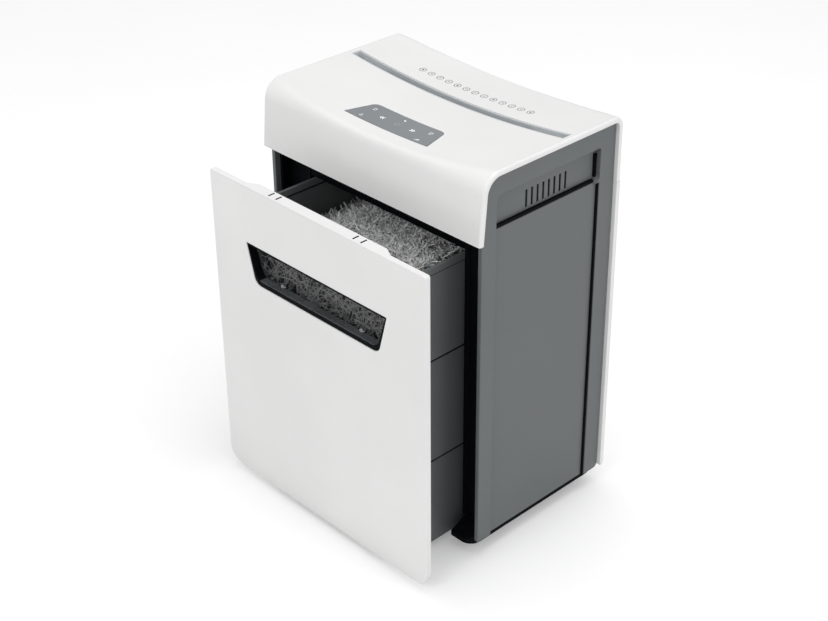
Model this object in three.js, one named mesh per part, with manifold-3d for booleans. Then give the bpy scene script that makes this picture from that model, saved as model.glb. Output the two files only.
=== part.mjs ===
// Office paper shredder with a pull-out waste bin, millimetres, +Z up.
// The origin is on the floor, midway between the sides, the open drawer front and the rear cover.
// The drawer is shown pulled out by DRAWER_OPEN.
import * as THREE from 'three';
import { mergeVertices } from 'three/addons/utils/BufferGeometryUtils.js';
import Module from 'manifold-3d';

const wasm = await Module();
wasm.setup();

// ---------------------------------------------------------------- driving dimensions

const GAP = 0.35; // between pieces that touch
const WIDTH = 340;
const HALF_WIDTH = WIDTH / 2;
const REAR_Y = 147;
const DRAWER_OPEN = 76;
const COVER_FRONT_Y = REAR_Y - 218;

// heights
const FOOT_HEIGHT = 13;
const SIDE_BOTTOM = 24;
const BASE_TOP = 30;
const COVER_BOTTOM = 404;
const RIM_TOP = 481.5;
const TOP_SAG = 12; // how far the hollow top dips midway between its rims
const FRONT_LEAN = Math.tan(THREE.MathUtils.degToRad(5));

// shells
const SHELL_WALL = 3;
const RIM_INSET = 6.2; // from a cover's outer face to the side panel's edge
const SIDE_OUTER = 165.5;
const SIDE_INNER = 160;
const SIDE_FRONT_Y = -63;
const RIM_INNER_X = 163;

// side panel fields
const FIELD_FRONT_Y = -42;
const FIELD_REAR_Y = 117;
const POCKET_BOTTOM = 411;
const POCKET_TOP = 451;
const POCKET_FLOOR_X = 157.5;
const FIELD_FLOOR_X = 162.1;
const POCKET_X = 154.5; // inner side of the pocket's back, less its clearance
const VENT = { count: 8, pitch: 8.6, width: 2.8, firstY: 10.4, bottom: 416.5, top: 437 };

// rear cover
const REAR_BOTTOM = 27;
const REAR_VENT = { columns: 5, rows: 3, width: 28, height: 3, fromX: -140, fromZ: 379, pitch: 8 };
const INLET = { x: 111, z: 388, halfWidth: 13, halfHeight: 9, frontY: 126, recess: 0.5 };
const SWITCH = { x: 76, z: 388, halfWidth: 10, halfHeight: 11, frontY: 128, recess: 0.5 };
const ROCKER_Y = REAR_Y - 6.5;
const SCREW = { x: 148, low: 60, high: 360, head: 3.6, shank: 1.7, boss: 6 };

// base and drawer bay
const TRAY = { half: 157, lipY: -65, rearY: REAR_Y - 9, lipHeight: 7, frontCorner: 15, rearCorner: 6 };
const CHANNEL = { half: 125, rearY: 129, wall: 3 }; // the bin's way through the base
const RUNNER = { inner: 108, bottom: 5.5 }; // ledges the bin slides on
const FOOT = { x: 136, frontY: -30, rearY: 108, radius: 7.5, pad: 8.3 };
const BAY_HALF = 128;
const BAY_WALL = { inner: 128.2, outer: 130.2, ribs: 136, frontY: -36.5, rearY: 139 };

// paper feed
const THROAT_Y = 65.25;
const THROAT_WIDTH = 226;
const THROAT_GAP = 6;
const GROOVE_HALF = 7; // half the width of the groove across the top
const GROOVE_END_X = 162.2;

// control lens
const LENS = { frontY: -41, rearY: -3, frontHalf: 64, rearHalf: 53, thickness: 2.5 };

// drawer front
const FRONT_Y = COVER_FRONT_Y - DRAWER_OPEN;
const FRONT_BOTTOM = 6.2;
const FRONT_TOP = 401.4;
const FRONT_WALL = 2.8;
const FRONT_DEPTH = 7.5;
const FRONT_FLANGE = 4;
const WINDOW = { top: 331, bottom: 282.5, topHalf: 113, bottomHalf: 100, corner: 11 };
const LEDGE = { frontHalf: 125, rearHalf: 101, depth: 14.6, thickness: 6 };
const CLIP = { x: 67, spacing: 12, width: 2, length: 10 };

// waste bin
const BIN = { front: -131, rear: 51, bottom: 9.5, top: 370, half: 120, wall: 2.4, corner: 8 };
const BIN_STEPS = [257, 125]; // heights where the bin narrows
const BIN_STEP_IN = 2;

// cutting head
const HEAD_FLOOR = 372.2;
const HEAD_FLOOR_WALL = 3;
const PLATE_X = 115;
const PLATE_WALL = 4;
const CUTTER_Z = 409;
const CUTTER_SPACING = 40;
const CUTTER_RADIUS = 21.4;
const CUTTER_CORE = 12;
const SHAFT_RADIUS = 6;
const DISC_PITCH = 20;
const DISC_WIDTH = 9.2;
const FRONT_CUTTER = [THROAT_Y - CUTTER_SPACING / 2, CUTTER_Z];
const REAR_CUTTER = [THROAT_Y + CUTTER_SPACING / 2, CUTTER_Z];

// gear train: each plane is the [from, to] of a pair of meshing gears along X
const PLANE_1 = [121, 126];
const PLANE_2 = [127, 132];
const PLANE_3 = [133, 140];
const SYNC_PLANE = [-128, -122];
const GEAR_PLATE_X = 142;
const STAGE_1 = { module: 1, pinion: 12, wheel: 42 };
const STAGE_2 = { module: 1.5, pinion: 12, wheel: 36 };
const STAGE_3 = { module: 2, pinion: 12, wheel: 32 };
const SYNC = { module: 2, teeth: 20 };
const IDLER_SHAFT = 4;
const MOTOR_RADIUS = 24;
const HEAD_TOP = 450;
const PLATE_BOTTOM = HEAD_FLOOR + HEAD_FLOOR_WALL + GAP;
const BUSH = { outer: 9, flange: 11 };
const COMB = { barNear: 43.5, barFar: 51.5, fingerNear: 32.5, fingerHalf: 4.4, bottom: 391, top: 401 };
const TIE_RODS = [[24, 440], [106, 440], [112, 382]];

// places in the gear train, as [y, z]
const stageDistance = (stage) => (stage.module * (stage.pinion + stage.wheel)) / 2;
const polar = ([y, z], distance, degrees) => {
  const angle = THREE.MathUtils.degToRad(degrees);
  return [y + distance * Math.cos(angle), z + distance * Math.sin(angle)];
};
const IDLER_B = polar(FRONT_CUTTER, stageDistance(STAGE_3), 150);
const IDLER_A = polar(IDLER_B, stageDistance(STAGE_2), 248);
const MOTOR = polar(IDLER_A, stageDistance(STAGE_1), 90);

// ---------------------------------------------------------------- finishes

const finish = (color, roughness, metalness = 0) =>
  new THREE.MeshStandardMaterial({ color, roughness, metalness });
const WHITE_GLOSS = finish(0xf0f0ee, 0.25);
const GREY_SATIN = finish(0x6a6e6f, 0.5);
const DARK_PLASTIC = finish(0x17191b, 0.55);
const BIN_GREY = finish(0x3c4042, 0.5);
const SMOKE_LENS = finish(0x8f959b, 0.15);
const SLOT_GREY = finish(0x969b9e, 0.4);
const CLEAR = finish(0xc8d0d4, 0.05);
const RUBBER = finish(0x202020, 0.9);
const STEEL = finish(0xa9abad, 0.35, 1);
const CUTTER_STEEL = finish(0x6b6d70, 0.3, 1);
const BRASS = finish(0xb08d4a, 0.35, 1);
const NYLON = finish(0xe4e0d4, 0.5);
const BOARD_GREEN = finish(0x1f5a3a, 0.6);
const PAPER = finish(0xe9e9e6, 0.9);

// ---------------------------------------------------------------- shape helpers

/** A closed solid for joining and cutting, from a closed three.js geometry. */
function solid(geometry) {
  const bare = geometry.clone();
  bare.deleteAttribute('normal');
  bare.deleteAttribute('uv');
  const merged = mergeVertices(bare, 1e-4);
  const data = new wasm.Mesh({
    numProp: 3,
    vertProperties: new Float32Array(merged.attributes.position.array),
    triVerts: new Uint32Array(merged.index.array),
  });
  return new wasm.Manifold(data);
}

const join = (...parts) => parts.reduce((whole, part) => whole.add(part));
const cut = (body, ...tools) => tools.reduce((whole, tool) => whole.subtract(tool), body);

/** A box from its lowest and highest places on each axis. */
function box([x0, x1], [y0, y1], [z0, z1]) {
  const geometry = new THREE.BoxGeometry(x1 - x0, y1 - y0, z1 - z0);
  return solid(geometry.translate((x0 + x1) / 2, (y0 + y1) / 2, (z0 + z1) / 2));
}

/** A span on one side of the middle plane: side is 1 on the right and -1 on the left. */
const sided = (side, a, b) => (side > 0 ? [a, b] : [-b, -a]);

/** A closed outline through [u, v, radius] corners, each rounded by its radius. */
function outline(corners) {
  const shape = new THREE.Shape();
  corners.forEach(([u, v, radius = 0], i) => {
    const corner = new THREE.Vector2(u, v);
    if (radius === 0) {
      if (i === 0) shape.moveTo(u, v);
      else shape.lineTo(u, v);
      return;
    }
    const [pu, pv] = corners.at(i - 1);
    const [nu, nv] = corners[(i + 1) % corners.length];
    const back = new THREE.Vector2(pu, pv).sub(corner).normalize();
    const ahead = new THREE.Vector2(nu, nv).sub(corner).normalize();
    const half = Math.acos(back.dot(ahead)) / 2;
    const inward = back.clone().add(ahead).normalize();
    const centre = corner.clone().addScaledVector(inward, radius / Math.sin(half));
    const start = corner.clone().addScaledVector(back, radius / Math.tan(half)).sub(centre);
    const end = corner.clone().addScaledVector(ahead, radius / Math.tan(half)).sub(centre);
    const clockwise = back.cross(ahead) > 0;
    if (i > 0) shape.lineTo(centre.x + start.x, centre.y + start.y);
    shape.absarc(centre.x, centre.y, radius, start.angle(), end.angle(), clockwise);
  });
  return shape;
}

const AXES = {
  x: [new THREE.Vector3(0, 1, 0), new THREE.Vector3(0, 0, 1), new THREE.Vector3(1, 0, 0)],
  y: [new THREE.Vector3(1, 0, 0), new THREE.Vector3(0, 0, 1), new THREE.Vector3(0, -1, 0)],
  z: [new THREE.Vector3(1, 0, 0), new THREE.Vector3(0, 1, 0), new THREE.Vector3(0, 0, 1)],
};

/** An outline (or a list of corners) pushed along an axis between two places. */
function prism(axis, shape, [from, to], curveSegments = 5) {
  const profile = Array.isArray(shape) ? outline(shape) : shape;
  const options = { depth: to - from, bevelEnabled: false, curveSegments };
  const geometry = new THREE.ExtrudeGeometry(profile, options);
  geometry.applyMatrix4(new THREE.Matrix4().makeBasis(...AXES[axis]));
  const start = axis === 'y' ? to : from;
  const { x, y, z } = new THREE.Vector3().setComponent('xyz'.indexOf(axis), start);
  return solid(geometry.translate(x, y, z));
}

const rectangle = ([u0, u1], [v0, v1], radius = 0) => [
  [u0, v0, radius],
  [u1, v0, radius],
  [u1, v1, radius],
  [u0, v1, radius],
];

/** A turned piece about an axis along X through [y, z], from [x, radius] profile points. */
function turned([y, z], profile, segments) {
  const points = profile.map(([x, radius]) => new THREE.Vector2(radius, x));
  const geometry = new THREE.LatheGeometry(points, segments);
  geometry.applyMatrix4(new THREE.Matrix4().makeBasis(...AXES.y)); // the axis lies along Z
  geometry.applyMatrix4(new THREE.Matrix4().makeBasis(...AXES.x)); // and then along X
  return solid(geometry.translate(0, y, z));
}

const rod = (centre, radius, [from, to], segments = 12) =>
  turned(centre, [[from, 0], [from, radius], [to, radius], [to, 0]], segments);

/** Everything above the hollow top surface, lowered by drop. */
function aboveTop(drop) {
  const radius = (HALF_WIDTH ** 2 + TOP_SAG ** 2) / (2 * TOP_SAG);
  const centreZ = RIM_TOP - TOP_SAG + radius;
  const reach = Math.asin((HALF_WIDTH + 2) / radius);
  const shape = new THREE.Shape();
  shape.absarc(0, centreZ, radius + drop, 1.5 * Math.PI - reach, 1.5 * Math.PI + reach, false);
  shape.lineTo(HALF_WIDTH + 2, RIM_TOP + 20);
  shape.lineTo(-HALF_WIDTH - 2, RIM_TOP + 20);
  return prism('y', shape, [-100, REAR_Y + 5], 14);
}

const pieces = new THREE.Group();

/** Adds one named piece; turn is a rotation in degrees about X through [y, z]. */
function place(name, shape, material, turn = null) {
  const { vertProperties, triVerts } = shape.getMesh();
  const geometry = new THREE.BufferGeometry();
  geometry.setAttribute('position', new THREE.BufferAttribute(vertProperties, 3));
  geometry.setIndex(new THREE.BufferAttribute(triVerts, 1));
  const mesh = new THREE.Mesh(geometry, material);
  mesh.name = name;
  if (turn) {
    geometry.translate(0, -turn.y, -turn.z);
    mesh.position.set(0, turn.y, turn.z);
    mesh.rotation.x = THREE.MathUtils.degToRad(turn.degrees);
  }
  geometry.computeVertexNormals();
  pieces.add(mesh);
}

// ---------------------------------------------------------------- casings

/** Side outline of the top cover, set in from its outer face, as corners in Y and Z. */
function coverProfile(inset, bottom) {
  const front = (z) => COVER_FRONT_Y + inset + (z - COVER_BOTTOM) * FRONT_LEAN;
  const top = RIM_TOP - inset;
  return [
    [front(bottom), bottom],
    [front(top), top, 25 - inset],
    [REAR_Y - inset, top, Math.max(13 - inset, 4)],
    [REAR_Y - inset, bottom],
  ];
}

/** Outline of the control lens or of its window, grown by a margin, in X and Y. */
function lensOutline(margin) {
  const { frontY, rearY, frontHalf, rearHalf } = LENS;
  return [
    [-frontHalf - margin, frontY - margin, 1.5],
    [frontHalf + margin, frontY - margin, 1.5],
    [rearHalf + margin, rearY + margin, 6],
    [-rearHalf - margin, rearY + margin, 6],
  ];
}

function topCover() {
  const outer = prism('x', coverProfile(0, COVER_BOTTOM), [-HALF_WIDTH, HALF_WIDTH]);
  const below = COVER_BOTTOM - 10;
  const throughSides = [-HALF_WIDTH - 1, HALF_WIDTH + 1];
  const betweenRims = prism('x', coverProfile(RIM_INSET, below), throughSides);
  const underShell = prism('x', coverProfile(SHELL_WALL, below), [-RIM_INNER_X, RIM_INNER_X]);
  const hollow = cut(join(betweenRims, underShell), aboveTop(SHELL_WALL));
  const groove = box(
    [-GROOVE_END_X, GROOVE_END_X],
    [THROAT_Y - GROOVE_HALF, THROAT_Y + GROOVE_HALF],
    [440, RIM_TOP + 5],
  );
  const lensWindow = prism('z', lensOutline(GAP), [440, RIM_TOP + 5], 3);
  return cut(outer, aboveTop(0), hollow, groove, lensWindow);
}

const rodY = ([x, z], radius, [from, to], segments = 12) => {
  const geometry = new THREE.CylinderGeometry(radius, radius, to - from, segments);
  return solid(geometry.translate(x, (from + to) / 2, z));
};

const cornersOf = ({ x, low, high }) => [[-x, low], [x, low], [x, high], [-x, high]];

function rearCover() {
  const top = COVER_BOTTOM - GAP;
  const innerY = REAR_Y - RIM_INSET + GAP;
  const profile = [[innerY, REAR_BOTTOM], [REAR_Y, REAR_BOTTOM, 5.5], [REAR_Y, top], [innerY, top]];
  const shell = cut(
    prism('x', profile, [-HALF_WIDTH, HALF_WIDTH], 3),
    box([-RIM_INNER_X, RIM_INNER_X], [innerY - 1, REAR_Y - SHELL_WALL], [REAR_BOTTOM + 3, top + 1]),
  );
  const vents = [];
  for (let column = 0; column < REAR_VENT.columns; column++) {
    for (let row = 0; row < REAR_VENT.rows; row++) {
      const x = REAR_VENT.fromX + column * (REAR_VENT.width + 10);
      const z = REAR_VENT.fromZ + row * REAR_VENT.pitch;
      const span = [x, x + REAR_VENT.width];
      vents.push(box(span, [REAR_Y - 5, REAR_Y + 1], [z, z + REAR_VENT.height]));
    }
  }
  const windows = [INLET, SWITCH].map(({ x, z, halfWidth, halfHeight }) => box(
    [x - halfWidth - GAP, x + halfWidth + GAP],
    [REAR_Y - 5, REAR_Y + 1],
    [z - halfHeight - GAP, z + halfHeight + GAP],
  ));
  const bosses = cornersOf(SCREW).map((at) =>
    rodY(at, SCREW.boss, [innerY, REAR_Y - SHELL_WALL + 1], 10));
  const screwHoles = cornersOf(SCREW).flatMap((at) => [
    rodY(at, SCREW.shank + GAP, [innerY - 1, REAR_Y + 1], 8),
    rodY(at, SCREW.head + GAP, [REAR_Y - 2.4, REAR_Y + 1], 10),
  ]);
  return cut(join(shell, ...bosses), ...vents, ...windows, ...screwHoles);
}

function coverScrew(at) {
  const head = rodY(at, SCREW.head, [REAR_Y - 2.1, REAR_Y - 0.2], 10);
  const shank = rodY(at, SCREW.shank, [REAR_Y - 14, REAR_Y - 2], 6);
  const [x, z] = at;
  const slots = [[2.4, 0.4], [0.4, 2.4]].map(([halfX, halfZ]) =>
    box([x - halfX, x + halfX], [REAR_Y - 1, REAR_Y + 1], [z - halfZ, z + halfZ]));
  return cut(join(head, shank), ...slots);
}

function sidePanel(side) {
  const profile = coverProfile(RIM_INSET + GAP, COVER_BOTTOM);
  const front = [[SIDE_FRONT_Y, SIDE_BOTTOM], [SIDE_FRONT_Y, COVER_BOTTOM]];
  const rear = [profile[3][0], SIDE_BOTTOM, 6];
  const corners = [...front, profile[1], profile[2], rear];
  const plate = prism('x', corners, sided(side, SIDE_INNER, SIDE_OUTER));
  const wall = 2.3;
  const pocketBack = box(
    sided(side, POCKET_FLOOR_X - wall, SIDE_INNER + 1),
    [FIELD_FRONT_Y - wall, FIELD_REAR_Y + wall],
    [POCKET_BOTTOM - wall, POCKET_TOP + wall],
  );
  const pocketOutline = [
    [FIELD_FRONT_Y, POCKET_BOTTOM],
    [FIELD_REAR_Y, POCKET_BOTTOM, 8],
    [FIELD_REAR_Y, POCKET_TOP, 2],
    [FIELD_FRONT_Y, POCKET_TOP, 8],
  ];
  const pocket = prism('x', pocketOutline, sided(side, POCKET_FLOOR_X, SIDE_OUTER + 5), 3);
  const field = box(
    sided(side, FIELD_FLOOR_X, SIDE_OUTER + 5),
    [FIELD_FRONT_Y, FIELD_REAR_Y],
    [SIDE_BOTTOM - 1, POCKET_BOTTOM],
  );
  const vents = Array.from({ length: VENT.count }, (_, i) => {
    const y = VENT.firstY + i * VENT.pitch;
    const span = [y - VENT.width / 2, y + VENT.width / 2];
    return box(sided(side, 150, SIDE_OUTER), span, [VENT.bottom, VENT.top]);
  });
  const grooveNotch = box(
    sided(side, SIDE_INNER - 1, GROOVE_END_X + GAP),
    [THROAT_Y - GROOVE_HALF, THROAT_Y + GROOVE_HALF],
    [467, RIM_TOP],
  );
  return cut(join(plate, pocketBack), pocket, field, grooveNotch, ...vents);
}

function frontFrame() {
  const depth = [FIELD_FRONT_Y, FIELD_FRONT_Y + 5];
  const half = SIDE_INNER - 0.6;
  const stiles = box([-half, half], depth, [BASE_TOP + GAP, COVER_BOTTOM]);
  const beam = box([-POCKET_X, POCKET_X], depth, [COVER_BOTTOM - 1, 440]);
  const bayTop = HEAD_FLOOR + 0.8;
  const bay = box([-BAY_HALF, BAY_HALF], [depth[0] - 1, depth[1] + 1], [BASE_TOP - 1, bayTop]);
  return cut(join(stiles, beam), bay);
}

function baseTray() {
  const { half, lipY, rearY, lipHeight, frontCorner, rearCorner } = TRAY;
  const plan = [
    [-half, lipY, frontCorner],
    [half, lipY, frontCorner],
    [half, rearY, rearCorner],
    [-half, rearY, rearCorner],
  ];
  const profile = [
    [lipY, FOOT_HEIGHT],
    [rearY, FOOT_HEIGHT],
    [rearY, BASE_TOP],
    [FIELD_FRONT_Y, BASE_TOP],
    [lipY, FOOT_HEIGHT + lipHeight],
  ];
  const body = prism('x', profile, [-half, half]).intersect(prism('z', plan, [0, 60], 4));
  const channel = box(
    [-CHANNEL.half, CHANNEL.half],
    [lipY - 1, CHANNEL.rearY],
    [FOOT_HEIGHT - 1, BASE_TOP + 1],
  );
  const barInner = CHANNEL.half + CHANNEL.wall;
  const pocketBand = [FOOT_HEIGHT - 1, BASE_TOP - CHANNEL.wall];
  const bars = [-1, 1].map((side) => {
    const span = sided(side, barInner, half - CHANNEL.wall);
    const runnerY = [FIELD_FRONT_Y, CHANNEL.rearY - 1];
    return {
      pockets: [
        box(span, [FIELD_FRONT_Y, 45], pocketBand),
        box(span, [45 + CHANNEL.wall, rearY - 4], pocketBand),
      ],
      runner: join(
        box(sided(side, RUNNER.inner, barInner), runnerY, [RUNNER.bottom, BIN.bottom - GAP]),
        box(sided(side, CHANNEL.half, barInner), runnerY, [RUNNER.bottom, FOOT_HEIGHT + 1]),
      ),
    };
  });
  const footPads = footPlaces().map(([x, y]) =>
    box([x - FOOT.pad, x + FOOT.pad], [y - FOOT.pad, y + FOOT.pad], [FOOT_HEIGHT, BASE_TOP - 2]));
  const frame = cut(body, channel, ...bars.flatMap((bar) => bar.pockets));
  return join(frame, ...bars.map((bar) => bar.runner), ...footPads);
}

const footPlaces = () => [
  [-FOOT.x, FOOT.frontY],
  [FOOT.x, FOOT.frontY],
  [FOOT.x, FOOT.rearY],
  [-FOOT.x, FOOT.rearY],
];

function foot([x, y]) {
  const top = FOOT_HEIGHT - GAP;
  const { radius: outer } = FOOT;
  const profile = [[0, 0], [outer - 1.5, 0], [outer, 2], [outer, top], [0, top]];
  const points = profile.map(([radius, z]) => new THREE.Vector2(radius, z));
  const geometry = new THREE.LatheGeometry(points, 16);
  geometry.applyMatrix4(new THREE.Matrix4().makeBasis(AXES.z[0], AXES.z[2], AXES.y[2]));
  return solid(geometry.translate(x, y, 0));
}

function bayWall(side) {
  const { inner, outer, frontY, rearY } = BAY_WALL;
  const top = HEAD_FLOOR - GAP;
  const panel = box(sided(side, inner, outer), [frontY, rearY], [BASE_TOP + GAP, top]);
  const ribSpan = sided(side, outer - 0.2, BAY_WALL.ribs);
  const ribs = [-20, 55, 125].map((y) => box(ribSpan, [y - 1.5, y + 1.5], [60, top]));
  return join(panel, ...ribs);
}

// ---------------------------------------------------------------- paper feed and controls

function slotInsert() {
  const half = GROOVE_HALF - GAP;
  const endX = GROOVE_END_X - GAP;
  const body = box([-endX, endX], [THROAT_Y - half, THROAT_Y + half], [440, RIM_TOP]);
  const liner = cut(body.intersect(aboveTop(10.5)), aboveTop(0.6));
  const spoutHalf = THROAT_WIDTH / 2 + 2.5;
  const spout = box([-spoutHalf, spoutHalf], [THROAT_Y - 5, THROAT_Y + 5], [451, 462]);
  const troughShape = [
    [THROAT_Y - 5.2, RIM_TOP + 5],
    [THROAT_Y - 3.6, 455],
    [THROAT_Y + 3.6, 455],
    [THROAT_Y + 5.2, RIM_TOP + 5],
  ];
  const trough = prism('x', troughShape, [-endX + 1.6, endX - 1.6]).intersect(aboveTop(8));
  const throat = box(
    [-THROAT_WIDTH / 2, THROAT_WIDTH / 2],
    [THROAT_Y - THROAT_GAP / 2, THROAT_Y + THROAT_GAP / 2],
    [440, RIM_TOP + 5],
  );
  return cut(join(liner, spout), trough, throat);
}

function controlLens() {
  const blank = prism('z', lensOutline(0), [440, RIM_TOP + 5], 3);
  return cut(blank.intersect(aboveTop(LENS.thickness)), aboveTop(0.1));
}

function controlBoard() {
  const board = box([-52, 52], [LENS.frontY + 3, LENS.rearY - 3], [460, 461.6]);
  const lamps = [-40, -20, 0, 20, 40].map((x) => box([x - 2, x + 2], [-24, -20], [461, 465]));
  const chip = box([-8, 8], [-16, -8], [461, 463]);
  return join(board, ...lamps, chip);
}

// ---------------------------------------------------------------- cutting head

function headTray() {
  const top = HEAD_FLOOR + HEAD_FLOOR_WALL;
  const floor = box([-157, 157], [-36.5, REAR_Y - 8.5], [HEAD_FLOOR, top]);
  const chute = box([-112, 112], [25, 105], [HEAD_FLOOR - 1, top + 1]);
  return cut(floor, chute);
}

function endPlate(side) {
  const frontY = side > 0 ? -34 : 12;
  const span = sided(side, PLATE_X, PLATE_X + PLATE_WALL);
  const corners = rectangle([frontY, 119], [PLATE_BOTTOM, HEAD_TOP], 4);
  const plate = prism('x', corners, span, 2);
  const through = [span[0] - 1, span[1] + 1];
  const holes = [FRONT_CUTTER, REAR_CUTTER].map((at) => rod(at, BUSH.outer + 0.7, through));
  if (side > 0) {
    holes.push(...[IDLER_A, IDLER_B].map((at) => rod(at, IDLER_SHAFT + GAP, through)));
    holes.push(rod(MOTOR, 9, through));
  }
  return cut(plate, ...holes);
}

function bush(at, side) {
  const inner = SHAFT_RADIUS + GAP;
  const flangeX = PLATE_X + PLATE_WALL + GAP;
  const profile = [
    [PLATE_X, inner],
    [PLATE_X, BUSH.outer],
    [flangeX, BUSH.outer],
    [flangeX, BUSH.flange],
    [flangeX + 1.2, BUSH.flange],
    [flangeX + 1.2, inner],
    [PLATE_X, inner],
  ].map(([x, radius]) => [side * x, radius]);
  return turned(at, side > 0 ? profile : profile.reverse(), 12);
}

/** A cutter: discs on a core, with shaft ends; the other cutter's discs run in its gaps. */
function cutter(at, discCount, [shaftFrom, shaftTo]) {
  const profile = [[shaftFrom, 0], [shaftFrom, SHAFT_RADIUS]];
  const coreEnd = 112.5;
  profile.push([-coreEnd, SHAFT_RADIUS], [-coreEnd, CUTTER_CORE]);
  for (let i = 0; i < discCount; i++) {
    const middle = (i - (discCount - 1) / 2) * DISC_PITCH;
    const [from, to] = [middle - DISC_WIDTH / 2, middle + DISC_WIDTH / 2];
    profile.push([from, CUTTER_CORE], [from, CUTTER_RADIUS], [to, CUTTER_RADIUS], [to, CUTTER_CORE]);
  }
  profile.push([coreEnd, CUTTER_CORE], [coreEnd, SHAFT_RADIUS], [shaftTo, SHAFT_RADIUS], [shaftTo, 0]);
  return turned(at, profile, 12);
}

/** A stripper comb: a bar whose fingers reach between one cutter's discs. */
function comb(direction, discCount) {
  const away = (near, far) => [near, far].map((y) => THROAT_Y + direction * y).sort((a, b) => a - b);
  const end = PLATE_X - GAP;
  const bar = box([-end, end], away(COMB.barNear, COMB.barFar), [COMB.bottom, COMB.top]);
  const fingers = Array.from({ length: discCount - 1 }, (_, i) => {
    const x = (i - (discCount - 2) / 2) * DISC_PITCH;
    const span = [x - COMB.fingerHalf, x + COMB.fingerHalf];
    return box(span, away(COMB.fingerNear, COMB.barNear + 1), [COMB.bottom + 2, COMB.top]);
  });
  return join(bar, ...fingers);
}

/** Outline of a spur gear with thinned, straightened involute teeth; one tooth points at phase (radians). */
function gearOutline(module, teeth, phase) {
  const pitchRadius = (module * teeth) / 2;
  const pressure = THREE.MathUtils.degToRad(20);
  const baseRadius = pitchRadius * Math.cos(pressure);
  const involute = (angle) => Math.tan(angle) - angle;
  const halfAtPitch = (0.42 * Math.PI) / teeth; // half the tooth's angle, less its backlash
  const halfAngle = (radius) => {
    if (radius <= baseRadius) return halfAtPitch + involute(pressure);
    return halfAtPitch + involute(pressure) - involute(Math.acos(baseRadius / radius));
  };
  const root = pitchRadius - 1.25 * module;
  const tip = pitchRadius + 0.85 * module;
  const shape = new THREE.Shape();
  for (let i = 0; i < teeth; i++) {
    const middle = phase + (2 * Math.PI * i) / teeth;
    const flank = [root, tip];
    const rising = flank.map((radius) => [radius, middle - halfAngle(radius)]);
    const falling = flank.toReversed().map((radius) => [radius, middle + halfAngle(radius)]);
    for (const [radius, angle] of [...rising, ...falling]) {
      const point = [radius * Math.cos(angle), radius * Math.sin(angle)];
      if (shape.curves.length === 0 && shape.currentPoint.length() === 0) shape.moveTo(...point);
      else shape.lineTo(...point);
    }
  }
  return shape;
}

function gear([y, z], { module, teeth, phase }, plane) {
  const blank = prism('x', gearOutline(module, teeth, phase), plane);
  return blank.translate([0, y, z]);
}

/** The phase that puts a gear in mesh with another, whose own phase is known. */
function meshedPhase(from, to, fromTeeth, fromPhase, toTeeth) {
  const toward = Math.atan2(to[1] - from[1], to[0] - from[0]);
  const pitch = (2 * Math.PI) / fromTeeth;
  const past = (((toward - fromPhase) % pitch) + pitch) % pitch;
  return toward + Math.PI + (past * fromTeeth) / toTeeth + Math.PI / toTeeth;
}

const PHASE_DRIVE = 0;
const PHASE_B_PINION = meshedPhase(FRONT_CUTTER, IDLER_B, STAGE_3.wheel, PHASE_DRIVE, STAGE_3.pinion);
const PHASE_B_WHEEL = PHASE_B_PINION;
const PHASE_A_PINION = meshedPhase(IDLER_B, IDLER_A, STAGE_2.wheel, PHASE_B_WHEEL, STAGE_2.pinion);
const PHASE_A_WHEEL = PHASE_A_PINION;
const PHASE_MOTOR = meshedPhase(IDLER_A, MOTOR, STAGE_1.wheel, PHASE_A_WHEEL, STAGE_1.pinion);
const PHASE_SYNC = meshedPhase(FRONT_CUTTER, REAR_CUTTER, SYNC.teeth, 0, SYNC.teeth);

function shaftGear(at, module, teeth, phase, plane) {
  const bore = rod(at, SHAFT_RADIUS + GAP, [plane[0] - 1, plane[1] + 1]);
  return cut(gear(at, { module, teeth, phase }, plane), bore);
}

function idler(at, wheelStage, wheelPhase, wheelPlane, pinionStage, pinionPhase, pinionPlane) {
  const wheel = { module: wheelStage.module, teeth: wheelStage.wheel, phase: wheelPhase };
  const pinion = { module: pinionStage.module, teeth: pinionStage.pinion, phase: pinionPhase };
  const spindle = rod(at, IDLER_SHAFT, [PLATE_X - 1, GEAR_PLATE_X + 2.5]);
  const hub = rod(at, IDLER_SHAFT + 2, [wheelPlane[0], pinionPlane[1]]);
  return join(spindle, hub, gear(at, wheel, wheelPlane), gear(at, pinion, pinionPlane));
}

function gearPlate() {
  const corners = rectangle([-34, 80], [PLATE_BOTTOM + 1, 456], 6);
  const plate = prism('x', corners, [GEAR_PLATE_X, GEAR_PLATE_X + 2], 2);
  const posts = [[-28, 450], [-28, 382], [70, 449], [74, 382]].map((at) =>
    rod(at, 3, [PLATE_X + PLATE_WALL + GAP, GEAR_PLATE_X + 1], 8));
  const holes = [IDLER_A, IDLER_B].map((at) =>
    rod(at, IDLER_SHAFT + GAP, [GEAR_PLATE_X - 1, GEAR_PLATE_X + 4]));
  return cut(join(plate, ...posts), ...holes);
}

function motorHousing() {
  const bore = 4;
  const profile = [
    [24, bore],
    [24, 14],
    [30, MOTOR_RADIUS],
    [98, MOTOR_RADIUS],
    [98, 20],
    [108, 20],
    [108, 8],
    [PLATE_X - GAP, 8],
    [PLATE_X - GAP, bore],
    [24, bore],
  ];
  return turned(MOTOR, profile, 20);
}

function motorRotor() {
  const shaft = rod(MOTOR, 3, [6, PLANE_1[1] + 0.5], 10);
  const pinion = { module: STAGE_1.module, teeth: STAGE_1.pinion, phase: PHASE_MOTOR };
  const hub = rod(MOTOR, 19, [8, 9.5], 12);
  const [y, z] = MOTOR;
  const blades = Array.from({ length: 6 }, (_, i) => {
    const blade = new THREE.BoxGeometry(9, 16, 1.4).translate(13, 10.5, 0);
    blade.rotateX((i * Math.PI) / 3);
    return solid(blade.translate(0, y, z));
  });
  return join(shaft, gear(MOTOR, pinion, PLANE_1), hub, ...blades);
}

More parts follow.
